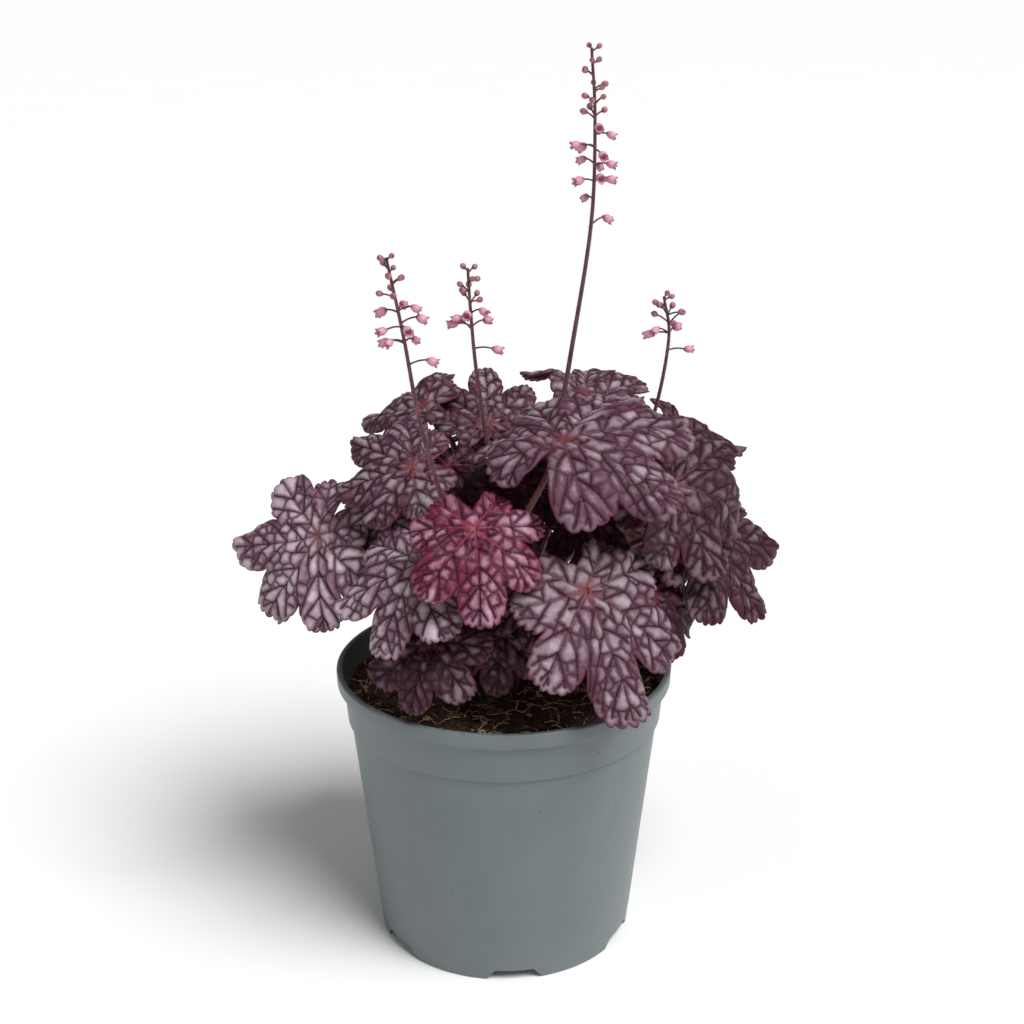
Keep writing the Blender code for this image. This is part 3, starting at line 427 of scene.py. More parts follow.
@dataclass(frozen=True)
class SoilFinish:
    """Peat, bark and fibre: matt, rough, one colour for each kind of bit.

    Args:
        name: Name of the material.
        dark: Colour in the hollows.
        light: Colour of the dry grains.
        grain: Size of the grains in metres.
    """

    name: str
    dark: str
    light: str
    grain: float

    def material(self) -> bpy.types.Material:
        """Build the node material at the scale of its grains."""
        paint = Paint(self.name, roughness=0.85)
        crumbs = paint.noise(1 / self.grain, 5.0)
        paint.feed("Base Color", paint.mix(paint.spread(crumbs, 0.35, 0.7), self.dark, self.light))
        paint.raise_skin(crumbs, 0.8, 0.0008)
        return paint.material


@dataclass(frozen=True)
class Leaf:
    """One leaf: where its navel is, which way its main tip points and how the blade is bent.

    Args:
        navel: The point where stalk and blade meet, in millimetres.
        heading: Direction of the main tip seen from above, in degrees from +X.
        down: How far the main tip points below level, in degrees.
        roll: Turn about the main rib, in degrees; minus turns the left side up.
        size: Length of the main lobe in millimetres.
        tone: The leaf's colours.
        cup: Bend of the blade from navel to margin, in degrees; minus bends it up.
        lean: Extra bend towards the main tip, in degrees.
        ruffle: Height of the waves at the margin, in millimetres.
        skew: How much longer the lobes on the right are than those on the left, as a share.
        tail: How much shorter the lobes beside the stalk are than on other leaves, as a share.
        spread: How much wider than usual the lobes fan out, as a share.
        teeth: Most teeth on a lobe.
    """

    navel: tuple[float, float, float]
    heading: float
    down: float
    roll: float
    # tone: The leaf's colours, which also paint the light and shade at its place.
    size: float
    tone: LeafTone = LeafTone.SILVER
    cup: float = 28.0
    lean: float = 0.0
    ruffle: float = 4.0
    skew: float = 0.0
    tail: float = 0.0
    spread: float = 0.0
    teeth: int = 5


SILVER, GREY, DUSK, PINK, WINE = LeafTone
# Each leaf's tone paints its light and shade as well as its own colour.
LEAVES = {
    "leaf_left_inner": Leaf((-56, -4, 226), -155, 30, -20, 32, GREY, ruffle=2.5, teeth=3),
    "leaf_top_inner": Leaf((-27, 0, 250), -100, 38, 0, 29, WINE, ruffle=2.5, tail=0.2, teeth=3),
    "leaf_heart": Leaf((9, -14, 244), -80, 40, 0, 35, WINE, ruffle=2.5, teeth=3),
    "leaf_front_low": Leaf((-3, -50, 184), -92, 58, 0, 32, DUSK, cup=15, teeth=3),
    "leaf_front_inner": Leaf((14, -43, 201), -88, 52, 0, 29, DUSK, cup=16, ruffle=1.5, teeth=3),
    "leaf_right_low": Leaf((72, -36, 197), -45, 52, 0, 36, WINE, teeth=3),
    "leaf_back_left_low": Leaf((-60, 54, 205), 135, 42, 0, 50, DUSK, teeth=3),
    "leaf_back_low": Leaf((-6, 68, 203), 95, 44, 0, 52, SILVER, teeth=3),
    "leaf_back_right_low": Leaf((58, 56, 204), 45, 42, 0, 52, DUSK, teeth=3),
    "leaf_right_far": Leaf((97, -2, 216), -24, 44, 22, 52, DUSK, cup=18),
    "leaf_left_far": Leaf((-87, -8, 214), -156, 36, -40, 53, GREY, cup=28, lean=14, skew=0.05, tail=0.1),
    "leaf_front_left_low": Leaf((-35, -60, 184), -115, 50, 0, 36, DUSK, cup=20),
    "leaf_back_left": Leaf((-48, 38, 240), 150, 25, 0, 42, SILVER),
    "leaf_back": Leaf((8, 50, 246), 92, 24, 0, 44, SILVER),
    "leaf_back_right": Leaf((58, 46, 234), 48, 26, 0, 40, SILVER),
    "leaf_dark_inner": Leaf((39, -27, 232), -82, 32, 0, 29, WINE, ruffle=2.5, tail=0.35, teeth=3),
    "leaf_left_front": Leaf((-39, -52, 219), -130, 42, -5, 47, GREY, cup=28, lean=-8),
    "leaf_top": Leaf((-8, 28, 263), 92, -36, 0, 34, SILVER, cup=-2, ruffle=3.0, tail=0.2),
    "leaf_top_left": Leaf((-39, 31, 270), 158, 8, -28, 37, SILVER, tail=0.15),
    "leaf_top_right": Leaf((42, 44, 271), 80, -20, 0, 42, SILVER, cup=18, tail=0.1),
    "leaf_right_upper": Leaf((85, 25, 256), -5, 2, 8, 38, DUSK, cup=18, tail=0.15),
    "leaf_left_upper": Leaf((-43, -15, 253), -172, 10, -42, 40, SILVER, cup=25, lean=12, tail=0.1),
    "leaf_front_right": Leaf((37, -62, 207), -54, 50, 0, 60, SILVER, cup=24, lean=-8, tail=0.38),
    "leaf_right": Leaf((77, -18, 240), -36, 36, 10, 46, DUSK, cup=30, skew=-0.1, tail=0.15),
    "leaf_front": Leaf((-13, -67, 241), -80, 43, 0, 44, PINK, cup=26, tail=0.25),
    "leaf_crest": Leaf(
        (27, -36, 271), 60, -23, 0, 63, SILVER,
        cup=40, lean=-17, ruffle=4.5, skew=0.15, tail=-0.1, spread=0.03,
    ),
}


@dataclass(frozen=True)
class Scape:
    """A flower stem: the points it passes above the crown, and its florets.

    Args:
        way: Points of the stem in millimetres, from low to high.
        flowers_from: Height where the florets begin, in millimetres.
        clusters: How many groups of florets there are on the way up.
        buds_from: Share of the clusters, from below, past which they are closed buds.
        seed: Seed of the small differences between florets.
        stalks: Length of the florets' stalks at the lowest and at the highest cluster.
    """

    way: tuple[tuple[float, float, float], ...]
    flowers_from: float
    clusters: int
    buds_from: float
    seed: int
    stalks: tuple[float, float] = (8.5, 3.0)


SCAPES = {
    "flower_stem_left": Scape(
        ((-17, -20, 195), (-27, -38, 240), (-38, -37, 282), (-45, -32, 322), (-52, -29, 357)),
        309, 8, 0.5, 21,
    ),
    "flower_stem_middle": Scape(
        ((-4, 8, 230), (-9, 10, 268), (-13, 9, 299), (-15, 6, 326), (-16, 3, 346)),
        307, 7, 0.45, 26,
    ),
    "flower_stem_tall": Scape(
        ((14, 18, 220), (28, 23, 268), (35, 24, 307), (43, 21, 365), (44, 20, 413), (42, 20, 445)),
        363, 12, 0.5, 23,
    ),
    "flower_stem_right": Scape(
        ((30, 8, 200), (57, 9, 234), (73, 10, 268), (80, 6, 310), (77, 4, 332)),
        306, 6, 0.35, 24,
    ),
}


def unit(vector: np.ndarray) -> np.ndarray:
    """Scale a vector to a length of 1."""
    return vector / np.linalg.norm(vector)


def length_of(line: np.ndarray) -> float:
    """Measure a line of points."""
    return np.linalg.norm(np.diff(line, axis=0), axis=1).sum()


def turn_of(flat: np.ndarray) -> np.ndarray:
    """Give the directions of flat places from the main tip, in degrees."""
    return np.degrees(np.arctan2(flat[..., 0], flat[..., 1]))


def fade(gap: np.ndarray, width: float | np.ndarray) -> np.ndarray:
    """Fade from 1 where there is no gap to about a third at the width."""
    return np.exp(-((gap / width) ** 2))


def away_from_heart(points: np.ndarray) -> np.ndarray:
    """Give the directions of rays from the heart of the plant through the points."""
    away = points - HEART
    return away / np.linalg.norm(away, axis=-1, keepdims=True)


def between(rows: list[np.ndarray], t: np.ndarray) -> np.ndarray:
    """Blend smoothly from the second of four rows to the third.

    Args:
        rows: Values before, at the start, at the end and after.
        t: How far from start to end, from 0 to 1.

    Returns:
        The Catmull-Rom blend.
    """
    a, b, c, d = rows
    return 0.5 * (2 * b + (c - a) * t + (2 * a - 5 * b + 4 * c - d) * t * t + (3 * b - a - 3 * c + d) * t**3)


class Blade:
    """The form of one blade: outline, bend, waves and the push that lays it over its neighbours."""

    def __init__(self, name: str, leaf: Leaf, seed: int) -> None:
        """Draw the blade's own lobes, clefts and waves.

        Args:
            name: Name of the frame's node that it stands for.
            leaf: The leaf's place and bend.
            seed: Seed of its small irregularities.
        """
        self.name = name
        self.leaf = leaf
        rng = random.Random(seed)
        self.centres = (1 + leaf.spread) * np.array([turn + rng.uniform(-3, 3) for turn, _, _ in LOBES])
        self.lengths = np.array([length * rng.uniform(0.94, 1.06) for _, length, _ in LOBES])
        self.lengths *= self.uneven(self.centres)
        self.teeth = np.array([min(teeth, leaf.teeth) for _, _, teeth in LOBES])
        self.bounds = (1 + leaf.spread) * np.array([turn + rng.uniform(-2, 2) for turn, _ in CLEFTS])
        self.clefts = np.array([depth * rng.uniform(0.92, 1.08) for _, depth in CLEFTS])
        self.clefts *= self.uneven(self.bounds)
        self.waves = [rng.uniform(0, 2 * math.pi) for _ in range(4)]
        self.axes = self.make_axes()
        self.push = np.zeros((len(LATTICE_RINGS), LATTICE_TURNS))

    def make_axes(self) -> np.ndarray:
        """Give the blade's axes as rows: across it, along its main rib, and out of its upper face."""
        heading, down, roll = (math.radians(v) for v in (self.leaf.heading, self.leaf.down, self.leaf.roll))
        level, up = np.array((math.cos(heading), math.sin(heading), 0.0)), np.array((0.0, 0.0, 1.0))
        along = level * math.cos(down) - up * math.sin(down)
        out = level * math.sin(down) + up * math.cos(down)
        across = np.cross(along, out)
        turned = across * math.cos(roll) - out * math.sin(roll)
        return np.array((turned, along, out * math.cos(roll) + across * math.sin(roll)))

    def uneven(self, turn: np.ndarray) -> np.ndarray:
        """Give the share by which the leaf's skew and tail change its length in each direction."""
        phi = np.radians(turn)
        return (1 + self.leaf.skew * np.sin(phi)) * (1 - self.leaf.tail * (1 - np.cos(phi)) / 2)

    def lobe_place(self, turn: np.ndarray) -> tuple[np.ndarray, np.ndarray]:
        """Find the lobe that each direction falls in.

        Args:
            turn: Directions from the main tip, in degrees.

        Returns:
            The lobe's index, and the place in it from -1 through 0 at the rib to 1.
        """
        index = np.clip(np.searchsorted(self.bounds, turn, side="right") - 1, 0, len(LOBES) - 1)
        offset = turn - self.centres[index]
        edge = np.where(offset < 0, self.bounds[index], self.bounds[index + 1]) - self.centres[index]
        return index, np.clip(np.abs(offset / edge), 0, 1) * np.sign(offset)

    def reach(self, turn: np.ndarray, toothed: bool = False) -> np.ndarray:
        """Measure from navel to margin.

        Args:
            turn: Directions from the main tip, in degrees.
            toothed: Whether the teeth are followed.

        Returns:
            Distances as shares of the leaf's size.
        """
        turn = np.asarray(turn, float)
        index, place = self.lobe_place(turn)
        cleft = np.where(place < 0, self.clefts[index], self.clefts[index + 1])
        length = self.lengths[index]
        radius = length - (length - cleft) * np.abs(place) ** LOBE_ROUNDNESS
        if toothed:
            phase = (place + 1) / 2 * (2 * self.teeth[index] - 1)
            height = TOOTH_HEIGHT * (1 + 0.35 * np.sin(np.radians(turn * 5) + self.waves[3]))
            height = height * np.where(np.floor(phase) % 2 == 0, 1.0, SECOND_TOOTH)
            radius = radius + height * (np.abs(np.sin(math.pi * phase)) ** TOOTH_BLUNTNESS - TOOTH_ROOT)
        last = np.where(turn < 0, -self.bounds[0], self.bounds[-1])
        past = np.maximum(np.abs(turn) - last, 0)
        shoulder = np.where(turn < 0, self.clefts[0], self.clefts[-1])
        return np.where(past > 0, shoulder + (BASE_CLEFT - shoulder) * past / (180 - last), radius)

    def bent(self, turn: np.ndarray, u: np.ndarray, fine: bool = False) -> np.ndarray:
        """Bend and wave places of the flat blade, before it is pushed.

        Args:
            turn: Directions from the main tip, in degrees.
            u: Distances from the navel as shares of the leaf's size.
            fine: Whether the smaller waves are added, and the folds between lobes rounded.

        Returns:
            Points in the blade's own axes, in millimetres.
        """
        leaf = self.leaf
        phi = np.radians(turn)
        curl = np.radians(leaf.cup + leaf.lean * np.cos(phi)) / leaf.size
        curl = np.where(np.abs(curl) < 1e-6, 1e-6, curl)
        angle = curl * u * leaf.size
        radius, height = np.sin(angle) / curl, -(1 - np.cos(angle)) / curl
        place = self.lobe_place(turn)[1] ** 2
        if fine:
            place = (1 - np.cos(math.pi * np.abs(self.lobe_place(turn)[1]))) / 2
        slow = SLOW_SHARE * np.sin(SLOW_WAVES * phi + self.waves[0])
        quick = QUICK_SHARE * np.sin(QUICK_WAVES * phi + self.waves[1])
        rise = leaf.ruffle * np.minimum(u, 1.1) ** 2 * (slow + quick)
        fold = FOLD_HEIGHT * place * u * np.exp(1 - u / FOLD_PEAK)
        rise = rise + leaf.size * (fold - CLEFT_DROOP * place * np.maximum(u - 0.5, 0))
        if fine:
            rise = rise + self.frill(phi, u)
        out = np.stack([np.sin(angle) * np.sin(phi), np.sin(angle) * np.cos(phi), np.cos(angle)], -1)
        return np.stack([radius * np.sin(phi), radius * np.cos(phi), height], -1) + out * rise[..., None]

    def frill(self, phi: np.ndarray, u: np.ndarray) -> np.ndarray:
        """Give the height of the small waves, strongest near the margin, in millimetres.

        Args:
            phi: Directions from the main tip, in radians.
            u: Distances from the navel as shares of the leaf's size.

        Returns:
            Heights along the bent blade's normal.
        """
        edge = np.clip((u - 0.35) / 0.6, 0, 1) ** 2
        x, y = u * self.leaf.size * np.sin(phi), u * self.leaf.size * np.cos(phi)
        crumple = np.sin(0.31 * x + 0.17 * y + self.waves[2]) * np.sin(0.35 * y - 0.12 * x + self.waves[0])
        frilled = np.sin(17 * phi + self.waves[2]) + 0.6 * np.sin(29 * phi + self.waves[3])
        return self.leaf.size / 50 * (0.95 * edge * frilled + 0.6 * np.minimum(2 * u, 1) * crumple)

    def pushed(self, turn: np.ndarray, share: np.ndarray) -> np.ndarray:
        """Read the push outward from the lattice.

        Args:
            turn: Directions from the main tip, in degrees.
            share: Shares of the way to the margin.

        Returns:
            Pushes in millimetres.
        """
        column = (np.asarray(turn, float) + 180) / 360 * LATTICE_TURNS
        low = np.floor(column).astype(int)
        row = np.interp(share, LATTICE_RINGS, range(len(LATTICE_RINGS)))
        base = np.minimum(np.floor(row).astype(int), len(LATTICE_RINGS) - 2)
        inside = self.push[1:2].mean() + 0 * self.push[:1]
        outside = 2 * self.push[-1:] - self.push[-2:-1]
        padded = np.concatenate([inside, self.push, outside])
        rows = []
        for step in range(4):
            ring = padded[base + step]
            picks = [ring[np.arange(len(ring)), (low + k) % LATTICE_TURNS] for k in (-1, 0, 1, 2)]
            rows.append(between(picks, column - low))
        return between(rows, row - base)

    def points(self, turn: np.ndarray, share: np.ndarray) -> np.ndarray:
        """Place points of the middle surface, by direction in degrees and share of the way to the margin."""
        world = np.array(self.leaf.navel) + self.bent(turn, share * self.reach(turn)) @ self.axes
        return world + away_from_heart(world) * self.pushed(turn, share)[..., None]

    def surface(self, flat: np.ndarray) -> np.ndarray:
        """Place the finished middle surface, with its small waves.

        Args:
            flat: Places on the flat blade, across and along the main rib, in millimetres.

        Returns:
            World points in millimetres.
        """
        turn, u = turn_of(flat), np.hypot(*flat.T) / self.leaf.size
        world = np.array(self.leaf.navel) + self.bent(turn, u, fine=True) @ self.axes
        share = np.clip(u / self.reach(turn), 0, LATTICE_RINGS[-1])
        return world + away_from_heart(world) * self.pushed(turn, share)[:, None]

    def lattice(self) -> tuple[np.ndarray, list[tuple[int, int, int]]]:
        """Lay a regular net over the blade, for finding where blades meet.

        Returns:
            Its points in millimetres and its triangles.
        """
        turns = np.linspace(-180, 180, LATTICE_TURNS, endpoint=False)
        rows = [self.points(turns, np.full(LATTICE_TURNS, share)) for share in LATTICE_RINGS]
        faces = []
        for ring in range(len(LATTICE_RINGS) - 1):
            for step in range(LATTICE_TURNS):
                a, b = ring * LATTICE_TURNS + step, ring * LATTICE_TURNS + (step + 1) % LATTICE_TURNS
                faces += [(a, b, b + LATTICE_TURNS), (a, b + LATTICE_TURNS, a + LATTICE_TURNS)]
        faces += [(0, step + 1, step) for step in range(1, LATTICE_TURNS - 1)]
        return np.concatenate(rows), faces

    def flat_lattice(self) -> np.ndarray:
        """Give the lattice's places on the flat blade, in millimetres."""
        turns = np.linspace(-180, 180, LATTICE_TURNS, endpoint=False)
        reach, phi = self.reach(turns) * self.leaf.size, np.radians(turns)
        rings = [reach * share for share in LATTICE_RINGS]
        return np.concatenate([np.stack([ring * np.sin(phi), ring * np.cos(phi)], -1) for ring in rings])

    def spread_push(self, need: np.ndarray, flat: np.ndarray) -> None:
        """Add a push where it is needed, fading out softly round it.

        Args:
            need: Push wanted at each lattice point, in millimetres.
            flat: The lattice's places on the flat blade.
        """
        gaps = np.linalg.norm(flat[:, None] - flat[None], axis=-1)
        eased = (need[None] * fade(gaps, 0.42 * self.leaf.size)).max(axis=1)
        self.push += eased.reshape(self.push.shape)


def tree_of(points: np.ndarray, faces: list) -> BVHTree:
    """Build a search tree over triangles."""
    return BVHTree.FromPolygons([Vector(p) for p in points], faces)


def along(path: np.ndarray, shares: np.ndarray | list[float]) -> np.ndarray:
    """Find points at shares of a path's length.

    Args:
        path: Points of the path.
        shares: Shares of its length, from 0 to 1.

    Returns:
        One point for each share.
    """
    steps = np.concatenate([[0.0], np.cumsum(np.linalg.norm(np.diff(path, axis=0), axis=1))])
    picks = steps[-1] * np.asarray(shares)
    return np.stack([np.interp(picks, steps, path[:, axis]) for axis in range(path.shape[1])], -1)


def filled(path: np.ndarray) -> np.ndarray:
    """Give points along the few straight pieces that the frame's stalk is made of."""
    return along(along(path, STALK_BENDS), np.linspace(0, 1, 30))


def stem_line(foot: np.ndarray, scape: Scape) -> np.ndarray:
    """Draw a smooth line from a foot through a flower stem's points.

    Args:
        foot: Place of the foot on the soil.
        scape: The flower stem.

    Returns:
        Points from the soil to the tip, in millimetres.
    """
    start = np.array((foot[0], foot[1], SOIL_TOP + 1.0))
    knots = [start - np.array((0, 0, 20.0)), start] + [np.array(p, float) for p in scape.way]
    knots.append(2 * knots[-1] - knots[-2])
    line = [start]
    for rows in zip(knots, knots[1:], knots[2:], knots[3:]):
        line += [between(list(rows), step / 8) for step in range(1, 9)]
    return np.array(line)


class Layout:
    """Lays out the plant: blades over each other, feet on the crown, and a clear way for each stalk."""

    def __init__(self) -> None:
        """Lay out the blades, then the feet, then the stalks from the outermost blade inwards."""
        self.blades = [Blade(name, leaf, 40 + index) for index, (name, leaf) in enumerate(LEAVES.items())]
        self.layer()
        self.feet = self.plant_feet()
        self.trees = {blade.name: tree_of(*blade.lattice()) for blade in self.blades}
        stems = [stem_line(self.feet[name], scape) for name, scape in SCAPES.items()]
        self.lines = [along(stem[::4], np.linspace(0, 1, 60)) for stem in stems]
        self.paths: dict[str, np.ndarray] = {}
        for blade in reversed(self.blades):
            path = self.route(self.feet[blade.name], blade)
            self.lines.append(filled(path))
            self.paths[blade.name] = path

    def layer(self) -> None:
        """Lay each blade over those before it, pushed out from the heart where they would meet."""
        earlier = np.empty((0, 3))
        placed_faces: list[tuple[int, int, int]] = []
        for blade in self.blades:
            if len(earlier):
                tree = tree_of(earlier, placed_faces)
                flat = blade.flat_lattice()
                for _ in range(12):
                    need = self.push_needed(blade, tree, earlier)
                    if need.max() < 0.15:
                        break
                    blade.spread_push(need, flat)
            points, faces = blade.lattice()
            placed_faces += [tuple(i + len(earlier) for i in face) for face in faces]
            earlier = np.concatenate([earlier, points])

    @staticmethod
    def push_needed(blade: Blade, tree: BVHTree, earlier: np.ndarray) -> np.ndarray:
        """Measure how much further out each lattice place has to be.

        Args:
            blade: The blade to place.
            tree: Search tree of the blades already placed.
            earlier: Points of those blades.

        Returns:
            Pushes in millimetres.
        """
        points, faces = blade.lattice()
        distance = np.linalg.norm(points - HEART, axis=1)
        need = np.zeros(len(points))
        for index, (direction, reached) in enumerate(zip(away_from_heart(points), distance)):
            travelled = last = 0.0
            while True:
                start = Vector(HEART) + Vector(direction) * travelled
                left = reached + LAYER_REACH - travelled
                place, _, _, step = tree.ray_cast(start, Vector(direction), left)
                if place is None:
                    break
                last = travelled + step
                travelled = last + 0.01
            if last:
                need[index] = max(0.0, last + LAYER_GAP - reached)
        own = tree_of(points, faces)
        for direction, reached in zip(away_from_heart(earlier), np.linalg.norm(earlier - HEART, axis=1)):
            _, _, face, hit = own.ray_cast(Vector(HEART), Vector(direction), 400)
            if face is not None and 0 < reached + LAYER_GAP - hit < LAYER_REACH:
                for corner in faces[face]:
                    need[corner] = max(need[corner], reached + LAYER_GAP - hit)
        return need

    def plant_feet(self) -> dict[str, np.ndarray]:
        """Share out the places of a spiral about the crown, flower stems first.

        Returns:
            The foot of each stem and stalk, by node.
        """
        free = []
        for index in range(len(LEAVES) + len(SCAPES)):
            radius, turn = CROWN_SPACING * math.sqrt(index + 0.5), math.radians(GOLDEN_TURN * index)
            free.append(np.array(CROWN_CENTRE) + radius * np.array((math.cos(turn), math.sin(turn))))
        targets = {name: np.array(scape.way[0][:2]) * 0.35 for name, scape in SCAPES.items()}
        targets |= {name: np.array(leaf.navel[:2]) * 0.2 for name, leaf in LEAVES.items()}
        feet = {}
        for name, target in targets.items():
            pick = min(range(len(free)), key=lambda i: np.linalg.norm(free[i] - target))
            feet[name] = free.pop(pick)
        return feet

    def clearance(self, path: np.ndarray, own: str) -> float:
        """Measure the smallest space round a path, less what a blade or a stalk beside it needs.

        Args:
            path: Points of the path.
            own: The path's own blade, which is free near the path's end.

        Returns:
            The space in millimetres, under 0 where it is too little.
        """
        worst = 99.0
        for point in path[1:]:
            for name, tree in self.trees.items():
                if name == own and np.linalg.norm(point - path[-1]) < OWN_BLADE_REACH:
                    continue
                near = tree.find_nearest(Vector(point), 12.0)[3]
                if near is not None:
                    worst = min(worst, near - STALK_FOOT_RADIUS - BLADE_ROOM)
        for line in self.lines:
            gaps = np.linalg.norm(path[:, None] - line[None], axis=-1)
            worst = min(worst, gaps.min() - 2 * STALK_FOOT_RADIUS - STALK_ROOM)
        return worst

    def route(self, foot: np.ndarray, blade: Blade) -> np.ndarray:
        """Find the first bend of a stalk that is clear, or else the clearest one.

        Args:
            foot: Place of the foot on the soil.
            blade: The blade that it carries.

        Returns:
            Points from the soil to the navel, in millimetres.
        """
        navel = blade.points(np.array([0.0]), np.array([0.0]))[0]
        start = np.array((foot[0], foot[1], SOIL_TOP + 1.0))
        length = np.linalg.norm(navel - start)
        arrive = unit(blade.axes[2] * 0.8 + blade.axes[1] * 0.45)
        side = np.cross(navel - start, (0, 0, 1))
        side = side / max(np.linalg.norm(side), 1e-6)
        ahead = np.cross((0, 0, 1), side)
        t = np.linspace(0, 1, 26)[:, None]
        best, best_space = None, -99.0
        for swing in STALK_SWINGS:
            for bow in STALK_BOWS:
                for low in (0, 0.6, -0.6):
                    b = start + np.array((0, 0, 0.45 * length)) + side * swing * low + ahead * bow * 0.5
                    c = navel - arrive * 0.4 * length + side * swing + ahead * bow
                    path = (1 - t) ** 3 * start + 3 * (1 - t) ** 2 * t * b
                    path = path + 3 * (1 - t) * t * t * c + t**3 * navel
                    space = self.clearance(filled(path), blade.name)
                    if space > best_space:
                        best, best_space = path, space
                    if space > 0:
                        return best
        return best


def add_object(name: str, data: bpy.types.ID) -> bpy.types.Object:
    """Put a mesh, curve, light or camera into the scene."""
    thing = bpy.data.objects.new(name, data)
    bpy.context.scene.collection.objects.link(thing)
    return thing


def baked(thing: bpy.types.Object, name: str) -> bpy.types.Mesh:
    """Turn an object with its modifiers or bevel into a plain mesh, and drop the object.

    Args:
        thing: A mesh or curve object.
        name: Name of the new mesh.

    Returns:
        The mesh.
    """
    bpy.context.view_layer.update()
    graph = bpy.context.evaluated_depsgraph_get()
    mesh = bpy.data.meshes.new_from_object(thing.evaluated_get(graph))
    mesh.name = name
    bpy.data.objects.remove(thing, do_unlink=True)
    return mesh


def tubes(lines: list[tuple[np.ndarray, np.ndarray]], roundness: int) -> bpy.types.Mesh:
    """Make capped round tubes from one curve with a bevel.

    Args:
        lines: For each tube its points and its radii, in millimetres.
        roundness: The bevel's resolution, 0 for square.

    Returns:
        One mesh with all of them.
    """
    curve = bpy.data.curves.new("tubes", "CURVE")
    curve.dimensions = "3D"
    curve.bevel_depth = 1.0
    curve.bevel_resolution = roundness
    curve.use_fill_caps = True
    for points, radii in lines:
        spline = curve.splines.new("POLY")
        spline.points.add(len(points) - 1)
        spline.points.foreach_set("co", np.column_stack([points, np.ones(len(points))]).ravel())
        spline.points.foreach_set("radius", np.asarray(radii, float))
    return baked(add_object("tubes", curve), "tubes")


def mesh_of(data: bmesh.types.BMesh, name: str) -> bpy.types.Mesh:
    """Turn a bmesh into a mesh and free it."""
    mesh = bpy.data.meshes.new(name)
    data.to_mesh(mesh)
    data.free()
    return mesh


def close_up(data: bmesh.types.BMesh) -> None:
    """Fill every open hole and turn every face outward."""
    bmesh.ops.holes_fill(data, edges=[e for e in data.edges if e.is_boundary])
    bmesh.ops.recalc_face_normals(data, faces=data.faces)


def spin_profile(data: bmesh.types.BMesh, profile: list[tuple[float, float]], steps: int) -> None:
    """Turn a profile once round the pot's axis into a closed solid.

    Args:
        data: The empty mesh that it is made in.
        profile: Radius and height of each corner.
        steps: Segments round the axis.
    """
    verts = [data.verts.new((radius, 0, height)) for radius, height in profile]
    for a, b in zip(verts, verts[1:]):
        data.edges.new((a, b))
    bmesh.ops.spin(
        data, geom=list(data.verts) + list(data.edges), cent=(0, 0, 0), axis=(0, 0, 1),
        angle=2 * math.pi, steps=steps, use_merge=True,
    )
    close_up(data)


def join_mesh(data: bmesh.types.BMesh, mesh: bpy.types.Mesh, slot: int | None = None) -> None:
    """Add a mesh to a bmesh and drop it.

    Args:
        data: What it is added to.
        mesh: What is added.
        slot: Material index for all its faces, or None to keep its own.
    """
    if slot is not None:
        mesh.polygons.foreach_set("material_index", np.full(len(mesh.polygons), slot, np.int32))
    data.from_mesh(mesh)
    bpy.data.meshes.remove(mesh)


def flush(data: bmesh.types.BMesh, batch: bmesh.types.BMesh) -> bmesh.types.BMesh:
    """Move a small mesh into a large one, where adding shapes is slow, and give a new empty one."""
    join_mesh(data, mesh_of(batch, "batch"))
    return bmesh.new()


def finish_piece(
    name: str, data: bmesh.types.BMesh, materials: list[bpy.types.Material]
) -> bpy.types.Object:
    """Turn a mesh in millimetres into a finished piece in metres that stands for its node.

    Args:
        name: Name of the frame's node.
        data: The mesh, which is freed.
        materials: Its materials in the order of their indices.

    Returns:
        The piece, at the origin, unturned and unscaled.
    """
    bmesh.ops.scale(data, vec=(MM, MM, MM), verts=data.verts)
    mesh = mesh_of(data, name + "_skin")
    for material in materials:
        mesh.materials.append(material)
    mesh.shade_smooth()
    piece = add_object(name + "_skin", mesh)
    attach(piece, "root")
    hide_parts(name)
    LOG.info("%s: %d faces", piece.name, len(mesh.polygons))
    return piece


def facing(spot: np.ndarray, way: np.ndarray) -> Matrix:
    """Give the place of a shape that stands on a spot and has its +Z turned to a direction."""
    turned = Vector((0, 0, 1)).rotation_difference(Vector(way)).to_matrix().to_4x4()
    return Matrix.Translation(Vector(spot)) @ turned


def add_hairs(
    data: bmesh.types.BMesh, path: np.ndarray, radii: np.ndarray, spacing: float, length: float, slot: int,
    seed: int,
) -> None:
    """Stand fine hairs on a stem. Real ones are about 0.03 mm across; these are 0.1 mm so that they show.

    Args:
        data: Mesh that they are added to.
        path: The stem's points.
        radii: The stem's radii at those points.
        spacing: Millimetres of stem for each hair.
        length: Length of a hair in millimetres.
        slot: Their material index.
        seed: Seed of their places.
    """
    rng = random.Random(seed)
    whole = np.column_stack([path, radii])
    batch = bmesh.new()
    for number in range(int(length_of(path) / spacing)):
        if number % BATCH == BATCH - 1:
            batch = flush(data, batch)
        share = rng.uniform(0.03, 0.97)
        here, ahead = along(whole, [share, share + 0.01])
        tangent = unit((ahead - here)[:3])
        turn = rng.uniform(0, 2 * math.pi)
        side = np.cross(tangent, (math.cos(turn), math.sin(turn), 0.3))
        out = unit(unit(side) + tangent * rng.uniform(-0.35, 0.45))
        size = length * rng.uniform(0.5, 1.2)
        hair = bmesh.ops.create_cone(
            batch, cap_ends=False, segments=3, radius1=0.055, radius2=0.012, depth=size,
            matrix=facing(here[:3] + out * (here[3] * 0.9 + size / 2), out),
        )
        for vert in hair["verts"]:
            for face in vert.link_faces:
                face.material_index = slot
    flush(data, batch).free()


